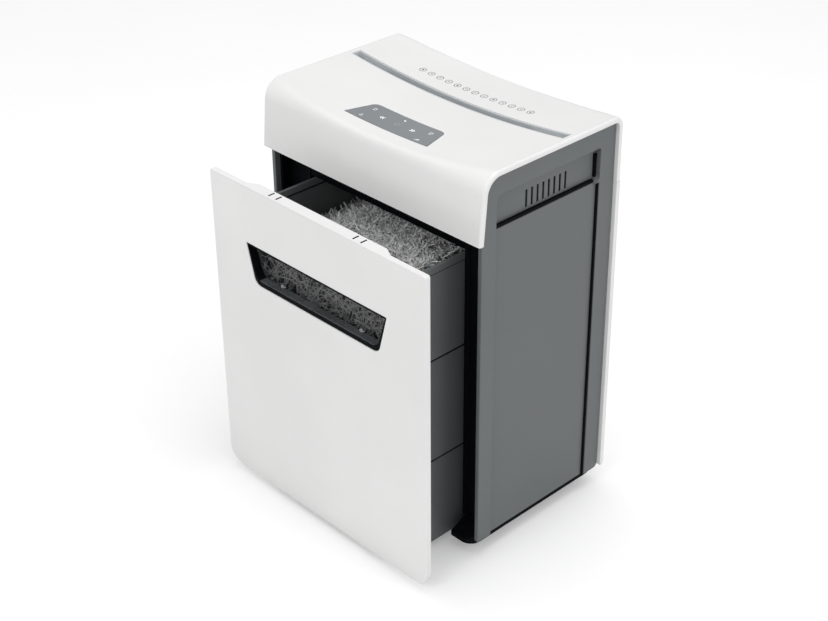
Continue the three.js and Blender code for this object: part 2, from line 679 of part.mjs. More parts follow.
function powerBoard() {
  const top = 381.6;
  const board = box([-106, 2], [-33, 10], [380, top]);
  const standoffs = [[-100, -28], [-4, -28], [-4, 5], [-100, 5]].map(([x, y]) =>
    box([x - 2.5, x + 2.5], [y - 2.5, y + 2.5], [PLATE_BOTTOM, 380.5]));
  const transformer = box([-98, -66], [-28, 2], [top - 1, 406]);
  const relay = box([-58, -38], [-27, -11], [top - 1, 397]);
  const heatSink = box([-30, -2], [-2, 6], [top - 1, 410]);
  const capacitor = new THREE.CylinderGeometry(8, 8, 26, 12);
  capacitor.rotateX(Math.PI / 2).translate(-20, -20, top + 12);
  return join(board, ...standoffs, transformer, relay, heatSink, solid(capacitor));
}

// ---------------------------------------------------------------- rear inlet and switch

/** The body of an inlet or a switch, reaching from its front to just inside the rear cover's face. */
function rearBlock({ x, z, halfWidth, halfHeight, frontY, recess }) {
  return box(
    [x - halfWidth, x + halfWidth],
    [frontY, REAR_Y - recess],
    [z - halfHeight, z + halfHeight],
  );
}

function mainsInlet() {
  const { x, z } = INLET;
  const socket = prism('y', [
    [x - 10, z - 6.5, 2],
    [x + 10, z - 6.5, 2],
    [x + 10, z + 3, 1],
    [x + 7, z + 6.5, 1],
    [x - 7, z + 6.5, 1],
    [x - 10, z + 3, 1],
  ], [130, REAR_Y + 1], 2);
  const pins = [-5, 0, 5].map((offset) =>
    box([x + offset - 0.8, x + offset + 0.8], [129, REAR_Y - 4], [z - 2.5, z + 2]));
  return join(cut(rearBlock(INLET), socket), ...pins);
}

function switchHousing() {
  const { x, z } = SWITCH;
  const well = box([x - 8, x + 8], [131, REAR_Y + 1], [z - 9.2, z + 9.2]);
  return cut(rearBlock(SWITCH), well);
}

function powerRocker() {
  const { x, z } = SWITCH;
  const face = [[-3, -6.5], [5, -7], [3.4, 0], [5, 7], [-3, 6.5], [-5, 0]];
  return prism('x', face, [x - 7.5, x + 7.5]).translate([0, ROCKER_Y, z]);
}

// ---------------------------------------------------------------- drawer

/** Side outline of the drawer front, whose foot tucks back, moved rearwards by shift. */
function frontProfile(shift) {
  const shape = new THREE.Shape();
  const tuck = 3.6;
  const tuckTop = 34;
  const face = FRONT_Y + shift;
  shape.moveTo(face + 30, FRONT_BOTTOM - 1);
  shape.lineTo(face + tuck, FRONT_BOTTOM - 1);
  shape.quadraticCurveTo(face, (FRONT_BOTTOM + tuckTop) / 2, face, tuckTop);
  shape.lineTo(face, FRONT_TOP + 1);
  shape.lineTo(face + 30, FRONT_TOP + 1);
  return prism('x', shape, [-HALF_WIDTH - 1, HALF_WIDTH + 1], 6);
}

/** The window's outline, grown by a margin, in X and Z. */
function windowOutline(margin, sill = margin) {
  const { top, bottom, topHalf, bottomHalf, corner } = WINDOW;
  return [
    [-topHalf - margin, top + margin, 1],
    [-bottomHalf - margin, bottom - sill, corner],
    [bottomHalf + margin, bottom - sill, corner],
    [topHalf + margin, top + margin, 1],
  ];
}

function drawerFront() {
  const outer = [
    [-HALF_WIDTH, FRONT_BOTTOM, 23],
    [HALF_WIDTH, FRONT_BOTTOM, 23],
    [HALF_WIDTH, FRONT_TOP, 3],
    [-HALF_WIDTH, FRONT_TOP, 3],
  ];
  const inset = FRONT_FLANGE;
  const inner = [
    [-HALF_WIDTH + inset, FRONT_BOTTOM + inset, 23 - inset],
    [HALF_WIDTH - inset, FRONT_BOTTOM + inset, 23 - inset],
    [HALF_WIDTH - inset, FRONT_TOP - inset, 1],
    [-HALF_WIDTH + inset, FRONT_TOP - inset, 1],
  ];
  const backY = FRONT_Y + FRONT_DEPTH;
  const blank = prism('y', outer, [FRONT_Y, backY]).intersect(frontProfile(0));
  const hollow = prism('y', inner, [FRONT_Y, backY + 1]).intersect(frontProfile(FRONT_WALL));
  const { frontHalf, rearHalf, depth, thickness } = LEDGE;
  const ledgeOutline = [
    [-frontHalf, FRONT_Y + 1],
    [frontHalf, FRONT_Y + 1],
    [rearHalf, FRONT_Y + depth],
    [-rearHalf, FRONT_Y + depth],
  ];
  const ledge = prism('z', ledgeOutline, [FRONT_TOP - thickness, FRONT_TOP]);
  const hooks = [-CLIP.x, CLIP.x].map((x) => box(
    [x - 10, x + 10],
    [FRONT_Y + depth - 2, FRONT_Y + depth],
    [BIN.top - 18, FRONT_TOP - thickness + 1],
  ));
  const clipSlots = [-CLIP.x, CLIP.x].flatMap((x) => [-1, 1].map((sign) => {
    const middle = x + (sign * CLIP.spacing) / 2;
    const span = [middle - CLIP.width / 2, middle + CLIP.width / 2];
    return box(span, [FRONT_Y + 3.5, FRONT_Y + 3.5 + CLIP.length - 2], [FRONT_TOP - 8, FRONT_TOP + 1]);
  }));
  const window = prism('y', windowOutline(0), [FRONT_Y - 1, backY + 1], 3);
  return cut(join(cut(blank, hollow), ledge, ...hooks), ...clipSlots, window);
}

function windowBezel() {
  const tunnelBack = FRONT_Y + 11;
  const flangeY = FRONT_Y + FRONT_WALL + GAP;
  const tunnel = prism('y', windowOutline(-GAP), [FRONT_Y + 0.8, tunnelBack], 3);
  const flange = prism('y', windowOutline(4), [flangeY, flangeY + 1.6], 3);
  const sight = prism('y', windowOutline(-2.6, -6), [FRONT_Y - 1, tunnelBack + 1], 3);
  return cut(join(tunnel, flange), sight);
}

function windowLens() {
  const y = FRONT_Y + 11 + GAP;
  return prism('y', windowOutline(3), [y, y + 2], 2);
}

/** The bin's stepped body, inset all round, from a floor height up to a top height. */
function binBody(inset, floor, top) {
  const tiers = [top, ...BIN_STEPS];
  return join(...tiers.map((tierTop, i) => {
    const bottom = i < BIN_STEPS.length ? BIN_STEPS[i] + inset : floor;
    const upper = i === 0 ? tierTop : tierTop + inset;
    const taper = inset + i * BIN_STEP_IN;
    const spanX = [-BIN.half + taper, BIN.half - taper];
    const spanY = [BIN.front + taper / 2 + inset / 2, BIN.rear - taper];
    const corner = Math.max(BIN.corner - inset, 2);
    return prism('z', rectangle(spanX, spanY, corner), [bottom, upper], 3);
  }));
}

function wasteBin() {
  const shell = cut(
    binBody(0, BIN.bottom, BIN.top),
    binBody(BIN.wall, BIN.bottom + BIN.wall, BIN.top + 1),
  );
  const rimOutline = (margin) => rectangle(
    [-BIN.half - margin, BIN.half + margin],
    [BIN.front - margin * 0.6, BIN.rear + margin],
    BIN.corner,
  );
  const rimBand = [BIN.top - 8, BIN.top];
  const rim = cut(
    prism('z', rimOutline(1.4), rimBand, 3),
    prism('z', rimOutline(-BIN.wall + 1), [rimBand[0] - 1, rimBand[1] + 1], 3),
  );
  const sight = box([-106, 106], [BIN.front - 3, BIN.front + 4], [WINDOW.bottom - 4, WINDOW.top + 4]);
  return cut(join(shell, rim), sight);
}

/** Height of the heap's surface: low at the left, crowned in the middle and right. */
function heapTop(x, y) {
  const across = THREE.MathUtils.smoothstep(x, -105, -20);
  const crown = Math.cos((x - 30) / 95) * Math.cos((y + 30) / 110);
  return 322 + 26 * across + 16 * across * Math.max(crown, 0);
}

function shreddedPaper() {
  const heap = (inset, floor) => {
    const half = 111 - inset;
    const [front, rear] = [-124.5 + inset, 42 - inset];
    const geometry = new THREE.BoxGeometry(2 * half, rear - front, 10, 10, 7, 1);
    geometry.translate(0, (front + rear) / 2, 0);
    const position = geometry.attributes.position;
    for (let i = 0; i < position.count; i++) {
      const [x, y, z] = [position.getX(i), position.getY(i), position.getZ(i)];
      position.setZ(i, z > 0 ? heapTop(x, y) - inset : floor);
    }
    return solid(geometry);
  };
  const floor = BIN.bottom + BIN.wall + GAP;
  return cut(heap(0, floor), heap(5, floor - 5));
}

// ---------------------------------------------------------------- assembly

place('top_cover', topCover(), WHITE_GLOSS);
place('rear_cover', rearCover(), WHITE_GLOSS);
place('right_side_panel', sidePanel(1), GREY_SATIN);
place('left_side_panel', sidePanel(-1), GREY_SATIN);
place('front_frame', frontFrame(), DARK_PLASTIC);
place('base_tray', baseTray(), DARK_PLASTIC);
place('right_bay_wall', bayWall(1), DARK_PLASTIC);
place('left_bay_wall', bayWall(-1), DARK_PLASTIC);
footPlaces().forEach((at, i) => place(`foot_${i + 1}`, foot(at), RUBBER));
cornersOf(SCREW).forEach((at, i) => place(`cover_screw_${i + 1}`, coverScrew(at), STEEL));

place('slot_insert', slotInsert(), SLOT_GREY);
place('control_lens', controlLens(), SMOKE_LENS);
place('control_board', controlBoard(), BOARD_GREEN);
place('paper_sensor', box([-7, 7], [72.8, 80], [450, 462]), DARK_PLASTIC);

place('head_tray', headTray(), DARK_PLASTIC);
place('left_end_plate', endPlate(-1), STEEL);
place('right_end_plate', endPlate(1), STEEL);
place('gear_plate', gearPlate(), STEEL);
place('front_bush_left', bush(FRONT_CUTTER, -1), BRASS);
place('front_bush_right', bush(FRONT_CUTTER, 1), BRASS);
place('rear_bush_left', bush(REAR_CUTTER, -1), BRASS);
place('rear_bush_right', bush(REAR_CUTTER, 1), BRASS);
const rodSpan = [-PLATE_X + GAP, PLATE_X - GAP];
TIE_RODS.forEach((at, i) =>
  place(`tie_rod_${i + 1}`, rod(at, 4, rodSpan, 10), STEEL));
place('front_comb', comb(-1, 11), DARK_PLASTIC);
place('rear_comb', comb(1, 10), DARK_PLASTIC);
place('front_cutter', cutter(FRONT_CUTTER, 11, [-129, 140.5]), CUTTER_STEEL);
place('rear_cutter', cutter(REAR_CUTTER, 10, [-129, 122]), CUTTER_STEEL);
place('front_sync_gear', shaftGear(FRONT_CUTTER, SYNC.module, SYNC.teeth, 0, SYNC_PLANE), STEEL);
place('rear_sync_gear', shaftGear(REAR_CUTTER, SYNC.module, SYNC.teeth, PHASE_SYNC, SYNC_PLANE), STEEL);
const driveGear = shaftGear(FRONT_CUTTER, STAGE_3.module, STAGE_3.wheel, PHASE_DRIVE, PLANE_3);
place('drive_gear', driveGear, STEEL);
const idlerB = idler(IDLER_B, STAGE_2, PHASE_B_WHEEL, PLANE_2, STAGE_3, PHASE_B_PINION, PLANE_3);
place('idler_gear_b', idlerB, NYLON);
const idlerA = idler(IDLER_A, STAGE_1, PHASE_A_WHEEL, PLANE_1, STAGE_2, PHASE_A_PINION, PLANE_2);
place('idler_gear_a', idlerA, NYLON);
place('motor_housing', motorHousing(), STEEL);
place('motor_rotor', motorRotor(), STEEL);
place('power_board', powerBoard(), BOARD_GREEN);
place('mains_inlet', mainsInlet(), DARK_PLASTIC);
place('switch_housing', switchHousing(), DARK_PLASTIC);
const rockerRest = { y: ROCKER_Y, z: SWITCH.z, degrees: -9 };
place('power_rocker', powerRocker(), DARK_PLASTIC, rockerRest);
place('reed_switch', box([94, 108], [-36.5, -31], [PLATE_BOTTOM, 384]), DARK_PLASTIC);

place('drawer_front', drawerFront(), WHITE_GLOSS);
place('window_bezel', windowBezel(), DARK_PLASTIC);
place('window_lens', windowLens(), CLEAR);
place('waste_bin', wasteBin(), BIN_GREY);
place('bin_magnet', box([96, 106], [-128.2, -126], [356, 366]), STEEL);
place('shredded_paper', shreddedPaper(), PAPER);

export default pieces;
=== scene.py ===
"""Looks of a deskside paper shredder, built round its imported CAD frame.

Each operator makes one piece or a group of like pieces; main() runs them in order.
Shapes are written in millimetres in the frame's own axes and scaled to metres when finished.
"""

import math
import random

import bmesh
import bpy
from bpy.props import FloatProperty, FloatVectorProperty, IntProperty, PointerProperty
from mathutils import Matrix, Vector, noise


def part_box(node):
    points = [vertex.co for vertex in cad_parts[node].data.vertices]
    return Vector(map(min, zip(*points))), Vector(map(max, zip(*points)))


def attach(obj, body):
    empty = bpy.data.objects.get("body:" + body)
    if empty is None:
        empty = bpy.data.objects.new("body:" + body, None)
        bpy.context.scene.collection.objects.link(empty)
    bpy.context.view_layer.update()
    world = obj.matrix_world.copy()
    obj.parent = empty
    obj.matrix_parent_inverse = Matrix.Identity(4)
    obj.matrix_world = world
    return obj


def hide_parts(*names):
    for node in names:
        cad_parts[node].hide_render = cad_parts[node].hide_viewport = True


bl_info = {
    "name": "Deskside Shredder Pieces",
    "version": (1, 0, 0),
    "blender": (4, 5, 0),
    "location": "View3D > Sidebar > Shredder",
    "description": "Models and finishes the pieces of a paper shredder round its CAD frame",
    "category": "Add Mesh",
}

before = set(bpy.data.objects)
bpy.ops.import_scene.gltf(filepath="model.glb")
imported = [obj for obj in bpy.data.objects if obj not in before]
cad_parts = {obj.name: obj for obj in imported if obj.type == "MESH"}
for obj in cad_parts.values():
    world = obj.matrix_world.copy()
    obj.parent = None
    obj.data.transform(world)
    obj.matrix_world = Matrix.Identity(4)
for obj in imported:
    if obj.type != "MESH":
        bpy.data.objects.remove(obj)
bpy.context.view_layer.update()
MM = 0.001


def box_mm(node):
    """Lowest and highest corner of a CAD node, in millimetres."""
    low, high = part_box(node)
    return low / MM, high / MM


# ---------------------------------------------------------------- places taken from the frame

COVER_LOW, COVER_HIGH = box_mm("top_cover")
LENS_LOW, LENS_HIGH = box_mm("control_lens")
SLOT_LOW, SLOT_HIGH = box_mm("slot_insert")
FRONT_LOW, FRONT_HIGH = box_mm("drawer_front")
BEZEL_LOW, BEZEL_HIGH = box_mm("window_bezel")
PANE_REAR = box_mm("window_lens")[1].y
BIN_LOW, BIN_HIGH = box_mm("waste_bin")
HEAP_LOW, HEAP_HIGH = box_mm("shredded_paper")
BIN_HALF = 120.0
BIN_STEPS = (257.0, 125.0)
BIN_RIM = 8.0

HALF_WIDTH = COVER_HIGH.x
RIM_TOP = COVER_HIGH.z
TOP_SAG = 12.0
FRONT_LEAN = math.tan(math.radians(5.0))
SHELL_WALL = 3.0
RIM_INSET = 6.2
FRONT_CORNER = 25.0
REAR_CORNER = 13.0
CLEARANCE = 0.35
EDGE_FILLET = 5.0
ROUND_STEPS = 24
SLOT_REACH = SLOT_HIGH.x + CLEARANCE


def sag(x):
    """How far the hollow top lies under its rims at a place across the cover."""
    return TOP_SAG * max(0.0, 1.0 - (x / HALF_WIDTH) ** 2)


def smooth(value, low, high):
    """Smooth step from 0 at low to 1 at high."""
    t = min(max((value - low) / (high - low), 0.0), 1.0)
    return t * t * (3.0 - 2.0 * t)


# ---------------------------------------------------------------- settings


class CasingSettings(bpy.types.PropertyGroup):
    gloss_white: FloatVectorProperty(
        name="Cover white", description="Colour of the cover and the drawer front",
        default=(0.87, 0.87, 0.865), size=3, subtype="COLOR", min=0.0, max=1.0)
    panel_grey: FloatVectorProperty(
        name="Panel grey", description="Colour of the side panels",
        default=(0.135, 0.147, 0.15), size=3, subtype="COLOR", min=0.0, max=1.0)
    bin_grey: FloatVectorProperty(
        name="Bin grey", description="Colour of the waste bin",
        default=(0.125, 0.135, 0.14), size=3, subtype="COLOR", min=0.0, max=1.0)
    edge_round: FloatProperty(
        name="Edge rounding", description="Radius of the moulded outer edges",
        default=0.9 * MM, unit="LENGTH", subtype="DISTANCE", min=0.0, soft_max=3 * MM)


class PaperSettings(bpy.types.PropertyGroup):
    strip_length: FloatProperty(
        name="Strip length", description="Mean length of a cut particle",
        default=23.0 * MM, unit="LENGTH", subtype="DISTANCE", min=5 * MM, soft_max=60 * MM)
    strip_width: FloatProperty(
        name="Strip width", description="Width of a cut particle",
        default=1.35 * MM, unit="LENGTH", subtype="DISTANCE", min=1 * MM, soft_max=6 * MM)
    top_count: IntProperty(
        name="Strips on top", description="Particles on the heap's surface",
        default=7200, min=0, soft_max=7400)
    window_count: IntProperty(
        name="Strips in the window", description="Particles lying against the window",
        default=430, min=0, soft_max=3700)
    seed: IntProperty(name="Seed", description="Seed of the scatter", default=7)


class StageSettings(bpy.types.PropertyGroup):
    lens: FloatProperty(
        name="Focal length", description="Camera focal length in millimetres",
        default=70.6, min=20.0, soft_max=200.0)
    floor_size: FloatProperty(
        name="Floor size", description="Length of the floor's sides",
        default=14.0, unit="LENGTH", subtype="DISTANCE", min=1.0)


# ---------------------------------------------------------------- shader node groups


EVEN = (1.0, 1.0, 1.0)
DUST_COLOUR = (0.55, 0.54, 0.52)
BLACK = (0.0035, 0.0042, 0.0055)
WORN_TONE = 0.62  # the grey towards which darker plastics lighten where they are rubbed


def node_group(name, inputs, outputs):
    """An empty shader group with its number sockets; returns it with its inputs and its end node."""
    group = bpy.data.node_groups.new(name, "ShaderNodeTree")
    for label, value in inputs.items():
        socket = group.interface.new_socket(label, in_out="INPUT", socket_type="NodeSocketFloat")
        socket.default_value = value
    for label in outputs:
        group.interface.new_socket(label, in_out="OUTPUT", socket_type="NodeSocketFloat")
    return group, group.nodes.new("NodeGroupInput").outputs, group.nodes.new("NodeGroupOutput")


def put(tree, target, value):
    """Links a socket to an input, or sets the input to a plain value."""
    if isinstance(value, bpy.types.NodeSocket):
        tree.links.new(value, target)
    else:
        target.default_value = value


def feed(tree, node, inputs=None, **properties):
    """Sets a node's properties, and its inputs to values or to linked sockets."""
    for key, value in properties.items():
        setattr(node, key, value)
    for key, value in (inputs or {}).items():
        put(tree, node.inputs[key], value)
    return node


def add(tree, kind, inputs=None, **properties):
    return feed(tree, tree.nodes.new(f"ShaderNode{kind}"), inputs, **properties)


def math_node(tree, operation, first, second, clamp=False):
    """A math node whose inputs are sockets or numbers; returns its output."""
    return add(tree, "Math", {0: first, 1: second}, operation=operation, use_clamp=clamp).outputs[0]


def spread(tree, value, low, high, to_low=0.0, to_high=1.0):
    """Maps a socket's range onto another, clamped."""
    ends = {"From Min": low, "From Max": high, "To Min": to_low, "To Max": to_high}
    return add(tree, "MapRange", {"Value": value, **ends}).outputs["Result"]


def blend_colour(tree, mask, first, second):
    """Mixes two colours, given as sockets or as tuples, by a mask socket."""
    node = add(tree, "Mix", data_type="RGBA")
    put(tree, node.inputs["Factor"], mask)
    for target, colour in ((node.inputs[6], first), (node.inputs[7], second)):
        put(tree, target, (*colour, 1.0) if isinstance(colour, tuple) else colour)
    return node.outputs[2]


def object_place(tree, stretch=EVEN):
    """Object coordinates through a mapping that stretches the pattern."""
    place = add(tree, "TexCoord").outputs["Object"]
    return add(tree, "Mapping", {"Vector": place, "Scale": stretch}).outputs["Vector"]


def clouds(tree, scale, detail=2.0, stretch=EVEN):
    """The value of a noise in object coordinates."""
    inputs = {"Vector": object_place(tree, stretch), "Scale": scale, "Detail": detail}
    return add(tree, "TexNoise", inputs).outputs["Fac"]


def cells(tree, scale, stretch=EVEN, **properties):
    """The distance to the middles of random cells, in object coordinates."""
    inputs = {"Vector": object_place(tree, stretch), "Scale": scale}
    return add(tree, "TexVoronoi", inputs, **properties).outputs["Distance"]


def bump_normal(tree, height, depth, strength=1.0):
    """The normal of a bump whose depth is in millimetres."""
    inputs = {"Height": height, "Strength": strength, "Distance": depth * MM}
    return add(tree, "Bump", inputs).outputs["Normal"]


def build_moulded_grain():
    """Fine spark-eroded grain of moulded plastic: a height and a roughness shift."""
    inputs = {"Scale": 900.0, "Unevenness": 0.5}
    group, start, end = node_group("moulded_grain", inputs, ("Height", "Gloss Shift"))
    pits = math_node(group, "MULTIPLY", cells(group, start["Scale"]), 0.6)
    centred = math_node(group, "SUBTRACT", clouds(group, 14.0, 3.0), 0.5)
    feed(group, end, {
        "Height": math_node(group, "ADD", clouds(group, start["Scale"]), pits),
        "Gloss Shift": math_node(group, "MULTIPLY", centred, start["Unevenness"]),
    })


def build_rubbed_edges():
    """Mask of the outer edges, where handling polishes and lightens a part."""
    group, start, end = node_group("rubbed_edges", {"Radius": 0.0012, "Patchiness": 30.0}, ("Mask",))
    rounded = add(group, "Bevel", {"Radius": start["Radius"]}, samples=4).outputs["Normal"]
    plain = add(group, "NewGeometry").outputs["Normal"]
    facing = add(group, "VectorMath", {0: rounded, 1: plain}, operation="DOT_PRODUCT").outputs["Value"]
    broken = spread(group, clouds(group, start["Patchiness"], 4.0), 0.42, 0.62, 0.25, 1.0)
    feed(group, end, {"Mask": math_node(group, "MULTIPLY", spread(group, facing, 0.995, 0.80), broken)})


def build_settled_dust():
    """Mask of dust lying on faces that look upwards."""
    group, start, end = node_group("settled_dust", {"Amount": 0.2}, ("Mask",))
    normal = add(group, "NewGeometry").outputs["Normal"]
    upward = spread(group, add(group, "SeparateXYZ", {"Vector": normal}).outputs["Z"], 0.55, 1.0)
    specks = spread(group, clouds(group, 420.0, 5.0), 0.45, 0.75)
    drifts = spread(group, clouds(group, 18.0, 3.0), 0.35, 0.7, 0.3, 1.0)
    cover = math_node(group, "MULTIPLY", math_node(group, "MULTIPLY", specks, drifts), upward)
    feed(group, end, {"Mask": math_node(group, "MULTIPLY", cover, start["Amount"])})


def build_machined_streaks():
    """Fine streaks along X, as on turned shafts and rolled sheet."""
    group, start, end = node_group("machined_streaks", {"Fineness": 500.0}, ("Streak", "Stain"))
    feed(group, end, {
        "Streak": clouds(group, start["Fineness"], 3.0, (0.04, 1.0, 1.0)),
        "Stain": spread(group, clouds(group, 26.0, 5.0), 0.4, 0.7),
    })


def build_node_groups():
    build_moulded_grain()
    build_rubbed_edges()
    build_settled_dust()
    build_machined_streaks()


def use_group(tree, name, inputs=None):
    """Adds one of the shared groups; returns its outputs."""
    node = add(tree, "Group", node_tree=bpy.data.node_groups[name])
    return feed(tree, node, inputs).outputs


# ---------------------------------------------------------------- materials


def new_material(name):
    """A new material's tree and its principled shader."""
    material = bpy.data.materials.new(name)
    material.use_nodes = True
    tree = material.node_tree
    return tree, tree.nodes["Principled BSDF"]


def tinted(colour, factor):
    return tuple(min(1.0, channel * factor) for channel in colour)


def moulded_plastic(name, colour, roughness, grain, depth, wear, dust=0.08, coat=0.0, shine=0.5):
    """Moulded plastic: grain, slightly uneven gloss and tone, rubbed edges and a little dust."""
    tree, shader = new_material(name)
    texture = use_group(tree, "moulded_grain", {"Scale": grain, "Unevenness": 0.16})
    worn_mask = math_node(tree, "MULTIPLY", use_group(tree, "rubbed_edges")["Mask"], wear)
    dusty = use_group(tree, "settled_dust", {"Amount": dust})["Mask"]
    if max(colour) < 0.6:
        rubbed = tuple(channel + (WORN_TONE - channel) * 0.25 for channel in colour)
    else:
        rubbed = tinted(colour, 0.94)
    tone = spread(tree, clouds(tree, 5.0, 3.0), 0.35, 0.65)
    body = blend_colour(tree, tone, tinted(colour, 0.965), tinted(colour, 1.02))
    worn = blend_colour(tree, worn_mask, body, rubbed)
    gloss = math_node(tree, "ADD", texture["Gloss Shift"], roughness)
    gloss = math_node(tree, "SUBTRACT", gloss, math_node(tree, "MULTIPLY", worn_mask, 0.12))
    gloss = math_node(tree, "ADD", gloss, math_node(tree, "MULTIPLY", dusty, 0.5), clamp=True)
    feed(tree, shader, {
        "Base Color": blend_colour(tree, dusty, worn, DUST_COLOUR),
        "Roughness": gloss,
        "Normal": bump_normal(tree, texture["Height"], depth),
        "Specular IOR Level": shine,
        "Coat Weight": coat,
        "Coat Roughness": 0.06,
    })


def machined_metal(name, colour, roughness, fineness=500.0, oil=0.0):
    """Rolled or turned metal with streaks, faint stains and brighter rubbed edges."""
    tree, shader = new_material(name)
    streaks = use_group(tree, "machined_streaks", {"Fineness": fineness})
    edges = math_node(tree, "MULTIPLY", use_group(tree, "rubbed_edges", {"Radius": 0.0006})["Mask"], 0.6)
    body = blend_colour(tree, streaks["Streak"], tinted(colour, 0.85), tinted(colour, 1.12))
    stain = math_node(tree, "MULTIPLY", streaks["Stain"], 0.35)
    stained = blend_colour(tree, stain, body, tinted(colour, 0.62))
    gloss = spread(tree, streaks["Streak"], 0.2, 0.8, roughness * 0.75, roughness * 1.3)
    dulled = math_node(tree, "MULTIPLY", streaks["Stain"], 0.12)
    feed(tree, shader, {
        "Base Color": blend_colour(tree, edges, stained, tinted(colour, 1.5)),
        "Roughness": math_node(tree, "ADD", gloss, dulled, clamp=True),
        "Normal": bump_normal(tree, streaks["Streak"], 0.02, 0.5),
        "Metallic": 1.0,
        "Coat Weight": oil,
        "Coat Roughness": 0.15,
    })


def paper_material(name, colour):
    """Cut office paper: fibre mottling and grey flecks where print was cut through."""
    tree, shader = new_material(name)
    fibre = clouds(tree, 1400.0, 4.0)
    white = blend_colour(tree, fibre, tinted(colour, 0.92), tinted(colour, 1.04))
    toned = blend_colour(tree, spread(tree, clouds(tree, 160.0), 0.5, 0.72), white, tinted(colour, 0.78))
    flecks = spread(tree, cells(tree, 210.0, (1.0, 1.7, 0.8)), 0.13, 0.08)
    feed(tree, shader, {
        "Base Color": blend_colour(tree, math_node(tree, "MULTIPLY", flecks, 0.55), toned, (0.09, 0.09, 0.1)),
        "Roughness": spread(tree, fibre, 0.2, 0.8, 0.75, 0.95),
        "Normal": bump_normal(tree, fibre, 0.03, 0.5),
    })


def heap_paper_shaded_material(name, colour):
    """The heap under the loose strips: crossing flat strips with dark gaps between them, all of it in painted
    shade.
    """
    tree, shader = new_material(name)
    stretches = ((0.25, 1.0, 1.0), (1.0, 0.25, 1.0), (1.0, 1.0, 0.3))
    masks = [spread(tree, clouds(tree, 330.0, 3.0, stretch), 0.42, 0.58) for stretch in stretches]
    mixed = math_node(tree, "MAXIMUM", math_node(tree, "MULTIPLY", masks[0], masks[1]), masks[2])
    feed(tree, shader, {
        # painted shade: the strips at three tenths of the paper's colour and the gaps between them near black
        "Base Color": blend_colour(tree, mixed, tinted(colour, 0.03), tinted(colour, 0.3)),
        "Roughness": spread(tree, masks[0], 0.0, 1.0, 0.7, 0.95),
        "Normal": bump_normal(tree, mixed, 1.2),
    })


def smoked_lens_material(name):
    """Glossy printed lens: blue-grey mask under a clear face, with faint wipe marks."""
    tree, shader = new_material(name)
    wipes = clouds(tree, 60.0, 5.0, (0.3, 1.0, 1.0))
    flakes = spread(tree, cells(tree, 2400.0), 0.25, 0.05, 0.0, 0.25)
    mask = blend_colour(tree, clouds(tree, 9.0), (0.155, 0.172, 0.19), (0.19, 0.21, 0.228))
    feed(tree, shader, {
        "Base Color": blend_colour(tree, flakes, mask, (0.42, 0.45, 0.48)),
        "Roughness": spread(tree, wipes, 0.3, 0.7, 0.10, 0.2),
        "Coat Weight": 1.0,
        "Coat Roughness": 0.04,
    })


def clear_pane_material(name, tint, density):
    """Clear tinted plastic of the window, with fine scuffs."""
    tree, shader = new_material(name)
    scuffs = clouds(tree, 700.0, 3.0, (0.08, 1.0, 1.0))
    film = clouds(tree, 30.0, 4.0)
    feed(tree, shader, {
        "Base Color": blend_colour(tree, film, tinted(tint, 0.8), tinted(tint, 1.2)),
        "Roughness": spread(tree, scuffs, 0.3, 0.8, 0.03, 0.12),
        "Alpha": spread(tree, film, 0.3, 0.8, density * 0.9, density * 1.1),
        "Specular IOR Level": 0.25,
    })


def glowing_icon_material(name, colour, strength):
    """Back-lit icon, its brightness a little uneven."""
    tree, shader = new_material(name)
    light = blend_colour(tree, clouds(tree, 300.0), tinted(colour, 0.8), colour)
    feed(tree, shader, {
        "Base Color": light,
        "Emission Color": light,
        "Emission Strength": strength,
        "Roughness": 0.3,
    })


def printed_mark_material(name, colour):
    """Pad-printed ink, thin and slightly uneven."""
    tree, shader = new_material(name)
    ink = clouds(tree, 900.0, 4.0)
    feed(tree, shader, {
        "Base Color": blend_colour(tree, ink, tinted(colour, 0.85), tinted(colour, 1.15)),
        "Roughness": spread(tree, ink, 0.3, 0.7, 0.4, 0.55),
    })


def circuit_board_material(name):
    """Solder mask with straight copper traces and tinned dots."""
    tree, shader = new_material(name)
    trace = spread(tree, cells(tree, 260.0, distance="CHEBYCHEV"), 0.42, 0.46)
    dot = spread(tree, cells(tree, 330.0), 0.16, 0.12)
    green = blend_colour(tree, trace, (0.01, 0.09, 0.045), (0.03, 0.19, 0.09))
    feed(tree, shader, {
        "Base Color": blend_colour(tree, dot, green, (0.6, 0.6, 0.58)),
        "Metallic": math_node(tree, "MULTIPLY", dot, 0.9),
        "Roughness": spread(tree, trace, 0.0, 1.0, 0.5, 0.3),
    })


def seen_by_camera(tree, hidden, seen):
    """One value for camera rays and another for all other rays."""
    return spread(tree, add(tree, "LightPath").outputs["Is Camera Ray"], 0.0, 1.0, hidden, seen)


def floor_material(name):
    """Pale matt floor with a barely visible mottling."""
    tree, shader = new_material(name)
    feed(tree, shader, {
        "Base Color": blend_colour(tree, clouds(tree, 3.0, 3.0), (0.86, 0.86, 0.86), (0.9, 0.9, 0.9)),
        "Roughness": 0.85,
        "Emission Strength": seen_by_camera(tree, 0.0, 0.24),
        "Emission Color": (1.0, 1.0, 1.0, 1.0),
    })


